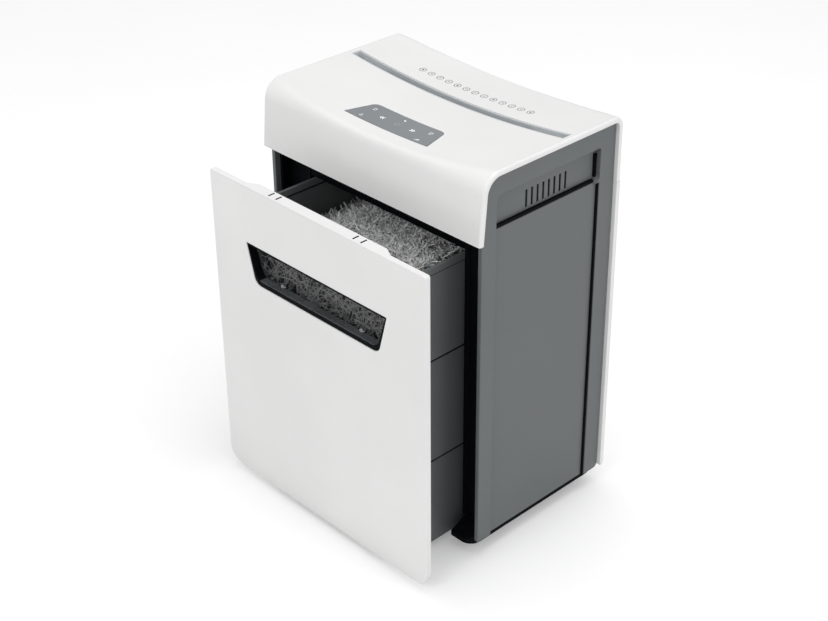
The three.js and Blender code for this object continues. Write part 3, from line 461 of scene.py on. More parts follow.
def build_materials():
    """Makes every finish once, by name."""
    casing = bpy.context.scene.shredder_casing
    white, panel, bin_grey = (tuple(c) for c in (casing.gloss_white, casing.panel_grey, casing.bin_grey))
    moulded_plastic("white_gloss", white, 0.22, grain=1500.0, depth=0.002, wear=0.04, dust=0.02, coat=0.35)
    moulded_plastic("white_satin", white, 0.34, grain=1400.0, depth=0.004, wear=0.04, dust=0.02, coat=0.12)
    moulded_plastic("grey_satin", panel, 0.42, grain=1100.0, depth=0.02, wear=0.3, dust=0.05)
    moulded_plastic("black_satin", BLACK, 0.6, grain=900.0, depth=0.02, wear=0.02, dust=0.02, shine=0.05)
    moulded_plastic("bin_plastic", bin_grey, 0.38, grain=700.0, depth=0.03, wear=0.35, dust=0.15)
    # painted light: the slot liner's grey is set lighter than its own colour to make up for the shade in the
    # feed groove; the window's catches share it
    moulded_plastic("slot_liner", (0.55, 0.575, 0.59), 0.32, grain=1200.0, depth=0.008, wear=0.35)
    moulded_plastic("black_rubber", (0.018, 0.018, 0.018), 0.8, grain=500.0, depth=0.06, wear=0.1, dust=0.3)
    moulded_plastic("natural_nylon", (0.72, 0.69, 0.6), 0.4, grain=600.0, depth=0.02, wear=0.1, dust=0.3)
    machined_metal("zinc_steel", (0.52, 0.53, 0.54), 0.32)
    machined_metal("cutter_steel", (0.3, 0.31, 0.32), 0.28, fineness=900.0, oil=0.4)
    machined_metal("bronze", (0.5, 0.34, 0.14), 0.35, fineness=700.0)
    paper_material("cut_paper", (0.62, 0.625, 0.625))
    heap_paper_shaded_material("packed_paper", (0.8, 0.8, 0.79))
    smoked_lens_material("smoked_lens")
    clear_pane_material("clear_pane", (0.006, 0.007, 0.009), 0.25)
    clear_pane_material("sill_clear", (0.12, 0.13, 0.137), 0.75)
    glowing_icon_material("icon_glow", (0.95, 0.97, 1.0), 0.55)
    glowing_icon_material("icon_dim", (0.5, 0.53, 0.56), 0.05)
    printed_mark_material("printed_grey", (0.11, 0.115, 0.12))
    circuit_board_material("circuit_board")
    floor_material("studio_floor")


def paint(node, material):
    """Gives a carried-over CAD node its finish."""
    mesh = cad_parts[node].data
    mesh.materials.clear()
    mesh.materials.append(bpy.data.materials[material])


# ---------------------------------------------------------------- mesh helpers


INK = 0.05  # height of the printed and lit signs


def finish_piece(name, bm, body, material, replaces=(), sharp=34.0, level=True):
    """Turns a bmesh into a finished piece that rides on a body."""
    bmesh.ops.scale(bm, vec=(MM, MM, MM), verts=bm.verts)
    mesh = bpy.data.meshes.new(name)
    bm.to_mesh(mesh)
    bm.free()
    mesh.shade_smooth()
    mesh.set_sharp_from_angle(angle=math.radians(sharp))
    mesh.materials.append(bpy.data.materials[material])
    piece = bpy.data.objects.new(name, mesh)
    bpy.context.scene.collection.objects.link(piece)
    if level:
        level_normals = piece.modifiers.new("level_normals", "WEIGHTED_NORMAL")
        level_normals.keep_sharp = True
    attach(piece, body)
    if replaces:
        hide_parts(*replaces)
    return piece


def bevel(bm, edges, width, segments=2):
    """Rounds some edges without letting one short edge hold back the rest."""
    return bmesh.ops.bevel(
        bm, geom=edges, offset=width, offset_type="OFFSET", segments=segments, profile=0.5,
        affect="EDGES", clamp_overlap=False, material=-1)


def sharp_edges(bm, degrees=30.0):
    limit = math.radians(degrees)
    return [e for e in bm.edges if len(e.link_faces) == 2 and e.calc_face_angle() > limit]


def copy_of_node(node):
    """A merged copy of a CAD node in millimetres, its flat faces in one piece."""
    bm = bmesh.new()
    bm.from_mesh(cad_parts[node].data)
    bmesh.ops.scale(bm, vec=(1 / MM,) * 3, verts=bm.verts)
    bmesh.ops.remove_doubles(bm, verts=bm.verts, dist=0.005)
    bmesh.ops.dissolve_limit(bm, angle_limit=math.radians(0.6), verts=bm.verts, edges=bm.edges)
    return bm


def rounded_copy(node, width, segments=2, degrees=30.0, skip=None):
    """A copy of a CAD node with rounded edges, all but those that skip picks out."""
    bm = copy_of_node(node)
    bevel(bm, [e for e in sharp_edges(bm, degrees) if not (skip and skip(e))], width, segments)
    return bm


def slice_at(bm, axis, places, chosen=None):
    """Cuts every face, or the chosen ones, by planes across an axis."""
    normal = Vector((axis == "x", axis == "y", axis == "z"))
    for place in places:
        faces = [f for f in bm.faces if chosen is None or chosen(f)]
        edges = {e for f in faces for e in f.edges}
        verts = {v for f in faces for v in f.verts}
        bmesh.ops.bisect_plane(
            bm, geom=[*verts, *edges, *faces], dist=1e-4, plane_co=normal * place, plane_no=normal)


def add_box(bm, low, high):
    """Adds a box between two corners; returns its vertices."""
    low, high = Vector(low), Vector(high)
    made = bmesh.ops.create_cube(bm, size=1.0)["verts"]
    bmesh.ops.scale(bm, vec=high - low, verts=made)
    bmesh.ops.translate(bm, vec=(low + high) / 2, verts=made)
    return made


def add_side_boxes(bm, x_span, y_span, z_span):
    """Adds a box at the right side and its mirror image at the left."""
    for side in (-1, 1):
        xs = sorted(side * x for x in x_span)
        add_box(bm, (xs[0], y_span[0], z_span[0]), (xs[1], y_span[1], z_span[1]))


def upright_edges(bm):
    return [e for e in bm.edges if abs(e.verts[0].co.z - e.verts[1].co.z) > 0.1]


def add_flat_bar(bm, start, end, width, height=INK):
    """Adds a thin bar that runs from one place to another in the XY plane."""
    start, end = Vector(start), Vector(end)
    run = end - start
    made = add_box(bm, (-run.length / 2, -width / 2, 0), (run.length / 2, width / 2, height))
    turn = Matrix.Rotation(math.atan2(run.y, run.x), 4, "Z")
    middle = (start + end) / 2
    bmesh.ops.transform(bm, matrix=Matrix.Translation((*middle, 0)) @ turn, verts=made)
    return made


def add_ring(bm, centre, radius, width, height=INK, segments=28, opening=0.0):
    """Adds a flat ring in the XY plane, with an opening in degrees at its top."""
    half = width / 2
    start = math.radians(90 + opening / 2)
    corners = [(radius - half, 0), (radius + half, 0), (radius + half, height), (radius - half, height)]
    verts = [bm.verts.new((r, 0, z)) for r, z in corners]
    edges = [bm.edges.new((a, b)) for a, b in zip(verts, verts[1:] + verts[:1])]
    full = opening == 0.0
    section = verts + edges
    if not full:
        section.append(bm.faces.new(verts))
    bmesh.ops.rotate(bm, cent=(0, 0, 0), matrix=Matrix.Rotation(start, 3, "Z"), verts=verts)
    before = set(bm.verts) - set(verts)
    bmesh.ops.spin(
        bm, geom=section, cent=(0, 0, 0), axis=(0, 0, 1), angle=math.radians(360 - opening),
        steps=segments, use_merge=full)
    made = [v for v in bm.verts if v not in before]
    bmesh.ops.translate(bm, vec=(*centre, 0), verts=made)
    faces = {f for v in made for f in v.link_faces}
    bmesh.ops.recalc_face_normals(bm, faces=list(faces))
    return made


def lay_on_top(bm, lift):
    """Lifts a flat drawing onto the hollow top of the cover."""
    for vert in bm.verts:
        vert.co.z += RIM_TOP - sag(vert.co.x) + lift


# ---------------------------------------------------------------- top cover


def cover_stations():
    """Places across the outer skin, from the middle to where the side edge starts to round."""
    over_lens = [0.0, 12.0, 24.0, 36.0, 48.0, 58.5]
    beside_lens = [72.0, 86.0, 100.0, 114.0, 128.0, 140.0, 152.0]
    return [*over_lens, *beside_lens, SLOT_REACH, 165.5, 167.4]


LENS_CORNER = 6.0
LENS_EDGE_COLUMN = 5  # the station that follows the slanted ends of the lens


def lens_half(y):
    """Half the lens window's width at a place from front to back."""
    front, rear = LENS_LOW.y - CLEARANCE, LENS_HIGH.y + CLEARANCE
    share = min(max((y - front) / (rear - front), 0.0), 1.0)
    return (64.0 + CLEARANCE) * (1 - share) + (53.0 + CLEARANCE) * share


def skewed(column, x, y):
    """A station moved so that one grid line runs along the slanted lens end."""
    stations = cover_stations()
    edge = stations[LENS_EDGE_COLUMN]
    outer = stations[-3]
    size = abs(x)
    if column <= LENS_EDGE_COLUMN:
        moved = size * lens_half(y) / edge
    elif size < outer:
        moved = lens_half(y) + (size - edge) * (outer - lens_half(y)) / (outer - edge)
    else:
        moved = size
    return math.copysign(moved, x)


def cover_ring():
    """The shell's cross-section as a closed loop of (column, x, inset, skin) stations."""
    stations = cover_stations()
    edge_round = 2.6
    steps = 4
    half = [(i, x, 0.0, "outer") for i, x in enumerate(stations)]
    for step in range(1, steps + 1):
        angle = math.radians(90 * step / steps)
        x = HALF_WIDTH - edge_round + edge_round * math.sin(angle)
        half.append((99, x, edge_round * (1 - math.cos(angle)), "edge"))
    half += [(99, HALF_WIDTH, 5.5, "edge"), (99, HALF_WIDTH - 0.25, 6.0, "edge")]
    half += [(99, HALF_WIDTH - 0.8, RIM_INSET, "edge"), (99, 163.6, RIM_INSET, "edge")]
    inner = [(i, x, SHELL_WALL, "inner") for i, x in enumerate(stations) if x <= SLOT_REACH]
    half += reversed(inner)
    left = [(column, -x, inset, skin) for column, x, inset, skin in reversed(half) if x > 0]
    return half + left


def cover_profile(inset):
    """Points of the cover's side outline, set in from the outer face: (y, z) from front to rear."""
    top = RIM_TOP - inset

    def front(z):
        return COVER_LOW.y + inset + (z - COVER_LOW.z) * FRONT_LEAN

    radius = FRONT_CORNER - inset
    lean = math.atan(FRONT_LEAN)
    centre_z = top - radius
    centre_y = front(centre_z) + radius / math.cos(lean)
    points = []
    start_z = centre_z + radius * math.sin(lean)
    for i in range(9):
        z = COVER_LOW.z + (start_z - COVER_LOW.z) * i / 9
        points.append((front(z), z))
    sweep = math.radians(90) - lean
    for i in range(ROUND_STEPS + 1):
        angle = math.pi - lean - sweep * i / ROUND_STEPS
        points.append((centre_y + radius * math.cos(angle), centre_z + radius * math.sin(angle)))
    lens_rear = LENS_HIGH.y + CLEARANCE
    flats = [LENS_LOW.y - CLEARANCE, -30.0, -20.0, lens_rear - LENS_CORNER, lens_rear, 12.0, 27.0, 42.0]
    flats += [SLOT_LOW.y - CLEARANCE, SLOT_HIGH.y + CLEARANCE, 87.0, 102.0, 117.0]
    points = [p for p in points if p[0] < flats[0] - 0.2]
    points += [(y, top - drop_before_flat(y, centre_y, radius)) for y in flats]
    rear_radius = max(REAR_CORNER - inset, 4.0)
    rear = COVER_HIGH.y - inset
    for i in range(9):
        angle = math.radians(90 - 90 * i / 8)
        points.append((rear - rear_radius + rear_radius * math.cos(angle),
                       top - rear_radius + rear_radius * math.sin(angle)))
    points += [(rear, COVER_LOW.z + (top - rear_radius - COVER_LOW.z) * (1 - i / 4)) for i in range(1, 5)]
    return points


def drop_before_flat(y, centre_y, radius):
    """How far the front rounding still lies under the flat top at a place."""
    if y >= centre_y:
        return 0.0
    return radius - math.sqrt(radius ** 2 - (centre_y - y) ** 2)


def profile_rows():
    """Indexes of the profile rows at the lens window and at the slot."""
    points = cover_profile(0.0)

    def row(y):
        return next(i for i, p in enumerate(points) if p[1] > RIM_TOP - 1 and abs(p[0] - y) < 1e-6)

    return {
        "lens_front": row(LENS_LOW.y - CLEARANCE),
        "lens_round": row(LENS_HIGH.y + CLEARANCE - LENS_CORNER),
        "lens_rear": row(LENS_HIGH.y + CLEARANCE),
        "slot_front": row(SLOT_LOW.y - CLEARANCE),
        "slot_rear": row(SLOT_HIGH.y + CLEARANCE),
    }


def cover_point(column, x, inset, y, z):
    """A profile point moved across the cover and, with a small fillet, under its hollow top."""
    across = skewed(column, x, y) if column < 99 else x
    hollow = RIM_TOP - inset - sag(across)
    fillet = max(min(EDGE_FILLET, sag(across)), 0.01)
    share = min(max(0.5 + 0.5 * (hollow - z) / fillet, 0.0), 1.0)
    return Vector((across, y, hollow * (1 - share) + z * share - fillet * share * (1 - share)))


def cover_shell_mesh():
    ring = cover_ring()
    profiles = {inset: cover_profile(inset) for inset in {r[2] for r in ring}}
    rows = profile_rows()
    count = len(cover_profile(0.0))
    bm = bmesh.new()
    grid = [
        [bm.verts.new(cover_point(column, x, inset, *profiles[inset][j])) for column, x, inset, _ in ring]
        for j in range(count)
    ]
    slot_rows = range(rows["slot_front"], rows["slot_rear"])
    lens_rows = range(rows["lens_front"], rows["lens_rear"])
    corner_row = rows["lens_round"]
    size = len(ring)
    for j in range(count - 1):
        for k in range(size):
            n = (k + 1) % size
            quad = [grid[j][k], grid[j][n], grid[j + 1][n], grid[j + 1][k]]
            both = {ring[k][3], ring[n][3]}
            open_skin = both in ({"outer"}, {"inner"})
            columns = (ring[k][0], ring[n][0])
            if open_skin and j in slot_rows and max(columns) <= len(cover_stations()) - 3:
                continue
            if open_skin and j in lens_rows and max(columns) <= LENS_EDGE_COLUMN:
                continue
            bm.faces.new(quad)
    round_lens_corners(bm, grid, ring, corner_row)
    for j in (0, count - 1):
        bm.faces.new(grid[j] if j == 0 else grid[j][::-1])
    bridge_openings(bm)
    bmesh.ops.delete(bm, geom=[v for v in bm.verts if not v.link_faces], context="VERTS")
    bmesh.ops.recalc_face_normals(bm, faces=bm.faces)
    return bm


def round_lens_corners(bm, grid, ring, row):
    """Fills the two rear corners of the lens window up to a quarter round."""
    steps = 5
    for skin in ("outer", "inner"):
        for side in (1, -1):
            here = {r[0]: i for i, r in enumerate(ring) if r[3] == skin and r[1] * side > 0}
            at, inside = here[LENS_EDGE_COLUMN], here[LENS_EDGE_COLUMN - 1]
            corner, down, across = grid[row + 1][at], grid[row][at], grid[row + 1][inside]
            arc = []
            for step in range(1, steps):
                t = step / steps
                place = down.co * (1 - t) ** 2 + corner.co * 2 * t * (1 - t) + across.co * t ** 2
                arc.append(bm.verts.new(place))
            bm.faces.new([corner, down, *arc, across])


def bridge_openings(bm):
    """Closes the walls of the lens window and the slot between the two skins."""
    open_edges = [e for e in bm.edges if e.is_boundary]
    behind = [e for e in open_edges if (e.verts[0].co.y + e.verts[1].co.y) / 2 > 30]
    ahead = [e for e in open_edges if e not in behind]
    for loop_pair in (behind, ahead):
        bmesh.ops.bridge_loops(bm, edges=loop_pair)


class SHREDDER_OT_top_cover(bpy.types.Operator):
    """Top cover: a thin shell with a hollow top, rounded rims, feed groove and lens window"""
    bl_idname = "shredder.top_cover"
    bl_label = "Top Cover"

    def execute(self, context):
        bm = cover_shell_mesh()
        top = RIM_TOP - TOP_SAG - 6
        high = [e for e in sharp_edges(bm, 55) if all(v.co.z > top for v in e.verts)]
        inner = [e for e in high if abs(e.verts[0].co.x) < 163]
        upper = [e for e in inner if any(f.normal.z > 0.9 for f in e.link_faces)]
        bevel(bm, upper, 0.5, 2)
        finish_piece("cover_shell", bm, "chassis", "white_gloss", ["top_cover"])
        return {"FINISHED"}


# ---------------------------------------------------------------- casings


class SHREDDER_OT_casings(bpy.types.Operator):
    """Rear cover, side panels, front frame, base, bay walls and feet with rounded moulded edges"""
    bl_idname = "shredder.casings"
    bl_label = "Casings"

    def execute(self, context):
        width = context.scene.shredder_casing.edge_round / MM
        jobs = [
            ("rear_shell", "rear_cover", "white_cover", "white_satin", width * 0.8),
            ("side_shell_right", "right_side_panel", "grey_panel", "grey_satin", width),
            ("side_shell_left", "left_side_panel", "grey_panel", "grey_satin", width),
            ("bay_frame", "front_frame", "black_plastic", "black_satin", width),
            ("base_shell", "base_tray", "black_plastic", "black_satin", width),
            ("bay_liner_right", "right_bay_wall", "black_plastic", "black_satin", 0.4),
            ("bay_liner_left", "left_bay_wall", "black_plastic", "black_satin", 0.4),
        ]
        for name, node, slot, material, round_width in jobs:
            bm = rounded_copy(node, round_width, skip=self.at_pocket_corner)
            finish_piece(name, bm, "chassis", material, [node])
        self.make_painted_shade()
        self.make_bay_shade_pieces()
        for i in range(1, 5):
            paint(f"foot_{i}", "black_rubber")
            paint(f"cover_screw_{i}", "zinc_steel")
        return {"FINISHED"}

    def at_pocket_corner(self, edge):
        """True for the short edges where the pocket's round corner meets the field below it."""
        return all(abs(v.co.x) > 157 and v.co.y > 108 and abs(v.co.z - 411) < 9 for v in edge.verts)

    def make_painted_shade(self):
        """Painted shadow: black strips for the dark gaps under and behind the pocket, behind the vents, down
        the field's rear edge and under the panel.
        """
        # black boxes of painted shadow, as mirrored pairs, by where they lie on the panel
        painted_shade = {
            "under the pocket": ((156.5, 161.4), (-41.8, 112.0), (411.1, 414.2)),
            "behind the pocket": ((156.5, 160.4), (113.6, 116.9), (416.0, 443.0)),
            "behind the vents": ((150.0, 156.7), (2.0, 78.0), (414.5, 439.0)),
            "down the field": ((161.0, 164.6), (114.6, 116.9), (24.2, 410.5)),
            "under the panel": ((158.0, 161.8), (-58.0, 137.0), (21.8, 24.0)),
        }
        bm = bmesh.new()
        for spans in painted_shade.values():
            add_side_boxes(bm, *spans)
        bevel(bm, list(bm.edges), 0.3, 1)
        finish_piece("shadow_painted_shade", bm, "chassis", "black_satin")

    def make_bay_shade_pieces(self):
        """Painted shade: black lips beside the bin at the bay's mouth and black liners inside the panels'
        fronts, where the mouth lies in shadow; and a black plate at the bay's back.
        """
        mouth = (30.6, 403.0)
        bm = bmesh.new()
        # painted shade at the bay's mouth: lips beside the bin, then liners inside the panels' fronts
        add_side_boxes(bm, (122.4, 129.0), (-43.6, -41.9), mouth)
        add_side_boxes(bm, (156.2, 159.8), (-56.2, -42.2), mouth)
        add_box(bm, (-127.8, 139.3, 30.4), (127.8, 140.3, 371.0))
        bevel(bm, list(bm.edges), 0.3, 1)
        finish_piece("bay_shade_pieces", bm, "chassis", "black_satin")


# ---------------------------------------------------------------- feed slot and controls


class SHREDDER_OT_feed_slot(bpy.types.Operator):
    """Liner of the feed slot and the row of printed guide marks behind it"""
    bl_idname = "shredder.feed_slot"
    bl_label = "Feed Slot"

    def execute(self, context):
        bm = rounded_copy("slot_insert", 0.35)
        finish_piece("slot_liner", bm, "chassis", "slot_liner", ["slot_insert"])
        marks = bmesh.new()
        count = 13
        pitch = 13.8
        row_y = SLOT_HIGH.y + 24.0
        for i in range(count):
            x = (i - (count - 1) / 2) * pitch
            add_ring(marks, (x, row_y), 4.0, 0.75, segments=24)
            self.add_sign(marks, i, x, row_y)
        lay_on_top(marks, 0.02)
        finish_piece("guide_marks", marks, "chassis", "printed_grey")
        return {"FINISHED"}

    def add_sign(self, bm, index, x, y):
        """One of four plain signs, by turns: a sheet, a bar, a cross or a dot."""
        kind = index % 4
        if kind == 0:
            add_box(bm, (x - 1.0, y - 1.4, 0), (x + 1.0, y + 1.4, INK))
        elif kind == 1:
            add_flat_bar(bm, (x - 1.7, y), (x + 1.7, y), 0.7)
            add_flat_bar(bm, (x - 1.0, y + 1.2), (x + 1.0, y + 1.2), 0.45)
        elif kind == 2:
            add_flat_bar(bm, (x - 1.9, y - 1.9), (x + 1.9, y + 1.9), 0.45)
            add_box(bm, (x - 0.9, y - 0.3, 0), (x + 0.3, y + 0.9, 0.04))
        else:
            add_ring(bm, (x, y), 1.0, 0.5, segments=12)


def lens_plate_mesh(inset, thickness, top_gap):
    """The lens as a bent plate with rounded rear corners."""
    front, rear = LENS_LOW.y + inset, LENS_HIGH.y - inset
    front_half, rear_half = 63.6 - inset, 53.0 - inset
    bm = bmesh.new()
    corners = [(-front_half, front), (front_half, front), (rear_half, rear), (-rear_half, rear)]
    verts = [bm.verts.new((x, y, 0)) for x, y in corners]
    face = bm.faces.new(verts)
    bmesh.ops.extrude_face_region(bm, geom=[face])
    bmesh.ops.translate(bm, vec=(0, 0, -thickness), verts=verts)
    middle = (front + rear) / 2
    bevel(bm, [e for e in upright_edges(bm) if e.verts[0].co.y > middle], LENS_CORNER - inset, 6)
    bevel(bm, [e for e in upright_edges(bm) if e.verts[0].co.y < middle], 1.2, 3)
    bmesh.ops.recalc_face_normals(bm, faces=bm.faces)
    upper = [e for e in sharp_edges(bm, 60) if all(v.co.z > -0.01 for v in e.verts)]
    bevel(bm, upper, 0.3, 2)
    slice_at(bm, "x", range(-60, 61, 8))
    slice_at(bm, "y", (front + 4, front + 2))
    lay_on_top(bm, -top_gap)
    return bm


class SHREDDER_OT_controls(bpy.types.Operator):
    """Smoked touch lens with its lit icons"""
    bl_idname = "shredder.controls"
    bl_label = "Controls"

    def execute(self, context):
        bm = lens_plate_mesh(0.0, 2.3, 0.12)
        finish_piece("touch_lens", bm, "chassis", "smoked_lens", ["control_lens"])
        lit = bmesh.new()
        for direction in (-1, 1):
            self.add_chevrons(lit, direction * 21.5, -22.5, direction)
        add_ring(lit, (0.0, -11.0), 0.8, 0.8, segments=12)
        self.add_sheet_sign(lit, -43.5, -14.0)
        self.add_bin_sign(lit, 43.0, -15.0)
        self.add_drop_sign(lit, -44.0, -34.0)
        self.add_bars_sign(lit, 43.0, -35.0)
        lay_on_top(lit, -0.1)
        finish_piece("touch_icons", lit, "chassis", "icon_glow")
        dim = bmesh.new()
        self.add_power_sign(dim, 0.0, -22.5)
        lay_on_top(dim, -0.1)
        finish_piece("power_icon", dim, "chassis", "icon_dim")
        paint("control_board", "circuit_board")
        paint("paper_sensor", "black_satin")
        return {"FINISHED"}

    def add_chevrons(self, bm, x, y, direction):
        for step in (0.0, 3.0):
            tip = x + direction * (step + 1.2)
            for side in (-1, 1):
                add_flat_bar(bm, (tip, y), (tip - direction * 2.2, y + side * 2.2), 1.0)

    def add_power_sign(self, bm, x, y):
        add_ring(bm, (x, y), 2.8, 0.55, segments=24, opening=60.0)
        add_flat_bar(bm, (x, y + 0.9), (x, y + 3.5), 0.55)

    def add_sheet_sign(self, bm, x, y):
        for offset in (-1.6, 1.6):
            add_flat_bar(bm, (x + offset, y - 2.0), (x + offset, y + 2.0), 0.4)
            add_flat_bar(bm, (x - 1.6, y + offset * 1.25), (x + 1.6, y + offset * 1.25), 0.4)

    def add_bin_sign(self, bm, x, y):
        add_flat_bar(bm, (x - 2.2, y + 2.0), (x + 2.2, y + 2.0), 0.45)
        add_flat_bar(bm, (x - 1.7, y + 1.6), (x - 1.3, y - 2.0), 0.4)
        add_flat_bar(bm, (x + 1.7, y + 1.6), (x + 1.3, y - 2.0), 0.4)
        add_flat_bar(bm, (x - 1.3, y - 2.0), (x + 1.3, y - 2.0), 0.4)

    def add_drop_sign(self, bm, x, y):
        add_ring(bm, (x, y - 0.6), 1.4, 0.45, segments=16, opening=70.0)
        for side in (-1, 1):
            add_flat_bar(bm, (x + side * 0.8, y + 0.6), (x, y + 2.4), 0.4)

    def add_bars_sign(self, bm, x, y):
        for i in range(3):
            add_flat_bar(bm, (x - 2.0 + 2.0 * i, y - 1.8), (x - 2.0 + 2.0 * i, y - 0.6 + i), 0.9)


# ---------------------------------------------------------------- drawer


def crease_front(bm):
    """Presses the two fine lines that carry the window's slanted ends up to the grip."""
    foot = Vector((113.5, 0, BEZEL_HIGH.z + 0.5))
    head = Vector((125.0, 0, FRONT_HIGH.z))
    for side in (-1, 1):
        a = Vector((side * foot.x, 0, foot.z))
        b = Vector((side * head.x, 0, head.z))
        along = (b - a).normalized()
        across = Vector((along.z, 0, -along.x))
        for shift in (-0.6, 0.0, 0.6):
            faces = [
                f for f in bm.faces
                if f.normal.y < -0.99 and any(v.co.z > foot.z + 1 for v in f.verts)
                and any(v.co.x * side > 60 for v in f.verts)
            ]
            edges = {e for f in faces for e in f.edges}
            verts = {v for f in faces for v in f.verts}
            bmesh.ops.bisect_plane(bm, geom=[*verts, *edges, *faces], dist=1e-4,
                                   plane_co=a + across * shift, plane_no=across)
        for vert in bm.verts:
            off = abs((vert.co - a).dot(Vector((across.x, 0, across.z))))
            if vert.co.y < FRONT_LOW.y + 0.3 and off < 0.05 and vert.co.z > foot.z and vert.co.x * side > 60:
                vert.co.y += 0.22


class SHREDDER_OT_drawer_front(bpy.types.Operator):
    """Drawer front with rounded edges, tucked foot, grip ledge and fine crease lines"""
    bl_idname = "shredder.drawer_front"
    bl_label = "Drawer Front"

    def execute(self, context):
        width = context.scene.shredder_casing.edge_round / MM
        bm = rounded_copy("drawer_front", width, 3, 32)
        slice_at(bm, "z", (BEZEL_HIGH.z + 1.0,), lambda f: f.normal.y < -0.99)
        crease_front(bm)
        finish_piece("front_shell", bm, "drawer", "white_satin", ["drawer_front"])
        bm = bmesh.new()
        for side in (-1, 1):
            for x in (side * 67 - 6, side * 67 + 6):
                low = (x - 0.95, FRONT_LOW.y + 4.2, 388)
                add_box(bm, low, (x + 0.95, FRONT_HIGH.y + 0.9, FRONT_HIGH.z - 0.1))
        bevel(bm, list(bm.edges), 0.25, 1)
        finish_piece("grip_clips", bm, "drawer", "black_satin")
        return {"FINISHED"}


class SHREDDER_OT_window(bpy.types.Operator):
    """Dark window surround, its grey sill, two bright clips and the clear pane"""
    bl_idname = "shredder.window"
    bl_label = "Window"

    def execute(self, context):
        bm = rounded_copy("window_bezel", 0.35)
        finish_piece("window_surround", bm, "drawer", "black_satin", ["window_bezel"])
        bm = rounded_copy("window_lens", 0.3)
        finish_piece("window_pane", bm, "drawer", "clear_pane", ["window_lens"])
        self.make_sill()
        return {"FINISHED"}

    def make_sill(self):
        """Clear ledge along the window's foot, with two small catches."""
        low, high = BEZEL_LOW.y + 0.3, BEZEL_HIGH.y - 0.2
        foot = BEZEL_LOW.z + 10.0
        bm = bmesh.new()
        add_box(bm, (-95, low, foot), (95, high, foot + 0.8))
        bevel(bm, upright_edges(bm), 2.5, 4)
        finish_piece("window_sill", bm, "drawer", "sill_clear")
        bm = bmesh.new()
        for x in (-64.0, 64.0):
            add_ring(bm, (x, 0.0), 1.5, 0.8, 1.2, segments=16)
            add_flat_bar(bm, (x + 2.2, -1.0), (x + 5.2, 0.8), 0.8, 1.0)
        bmesh.ops.rotate(bm, cent=(0, 0, 0), matrix=Matrix.Rotation(math.pi / 2, 3, "X"), verts=bm.verts)
        bmesh.ops.translate(bm, vec=(0, high - 1.2, foot + 2.6), verts=bm.verts)
        finish_piece("pane_catches", bm, "drawer", "slot_liner")


class SHREDDER_OT_waste_bin(bpy.types.Operator):
    """Stepped waste bin with a rolled rim"""
    bl_idname = "shredder.waste_bin"
    bl_label = "Waste Bin"

    def execute(self, context):
        bm = rounded_copy("waste_bin", 0.7, degrees=40.0, skip=self.at_step)
        finish_piece("bin_shell", bm, "drawer", "bin_plastic", ["waste_bin"])
        self.make_step_shadows()
        paint("bin_magnet", "zinc_steel")
        return {"FINISHED"}

    def at_step(self, edge):
        """True for edges that go round the bin under its rim or at a step, inside or out."""
        heights = (*BIN_STEPS, BIN_HIGH.z - BIN_RIM)
        return all(any(-0.5 < v.co.z - height < 3.0 for height in heights) for v in edge.verts)

    def make_step_shadows(self):
        """Painted shadow: black strips just below the rim and the two steps, which read as dark shadow lines
        round the bin.
        """
        bm = bmesh.new()
        # black strips of painted shadow under the two steps, then one under the rim
        for i, height in enumerate(BIN_STEPS):
            half = BIN_HALF - 2.0 * i - 0.25
            rear = BIN_HIGH.y - 1.4 - 2.0 * i - 0.25
            low, high = height - 2.3, height - 0.1
            add_side_boxes(bm, (half - 3.0, half), (BIN_LOW.y + 10, rear - 8), (low, high))
            add_box(bm, (-half + 8, rear - 3.0, low), (half - 8, rear, high))
        under_rim = BIN_HIGH.z - BIN_RIM
        band = (under_rim - 1.3, under_rim + 0.2)
        add_side_boxes(bm, (BIN_HALF - 3.0, BIN_HALF + 0.7), (BIN_LOW.y + 10, BIN_HIGH.y - 10), band)
        finish_piece("bin_step_shadows", bm, "drawer", "black_satin")


# ---------------------------------------------------------------- shredded paper


def heap_top(x, y):
    """Height of the heap's surface: low at the left, crowned in the middle and right."""
    across = smooth(x, -105.0, -20.0)
    crown = max(math.cos((x - 30) / 95) * math.cos((y + 30) / 110), 0.0)
    return 322 + 26 * across + 16 * across * crown + 10 * smooth(x, 10.0, 105.0)


def strip_patterns(rng, length, width, count=16):
    """A few curled paper strips as meshes, each a thin closed shape about the origin."""
    patterns = []
    for i in range(count):
        bm = bmesh.new()
        steps = 5
        size = length * rng.uniform(0.65, 1.25)
        made = bmesh.ops.create_grid(bm, x_segments=steps, y_segments=1, size=0.5)["verts"]
        bmesh.ops.scale(bm, vec=(size, width * rng.uniform(0.85, 1.1), 1), verts=made)
        curl = rng.choice((0.0, 0.6, 1.1, 1.8, 2.8)) * rng.uniform(0.8, 1.2)
        twist = rng.uniform(-1.4, 1.4)
        wave = rng.uniform(-0.8, 0.8)
        for vert in bm.verts:
            t = vert.co.x / size
            side = vert.co.y
            if curl > 0.05:
                radius = size / curl
                x, z = radius * math.sin(curl * t), radius * (1 - math.cos(curl * t))
            else:
                x, z = vert.co.x, 0.0
            turn = twist * t
            vert.co = Vector((x, side * math.cos(turn) + wave * math.sin(4 * t), z + side * math.sin(turn)))
        bmesh.ops.solidify(bm, geom=list(bm.faces), thickness=0.1)
        mesh = bpy.data.meshes.new(f"strip_pattern_{i}")
        bm.to_mesh(mesh)
        bm.free()
        patterns.append(mesh)
    return patterns


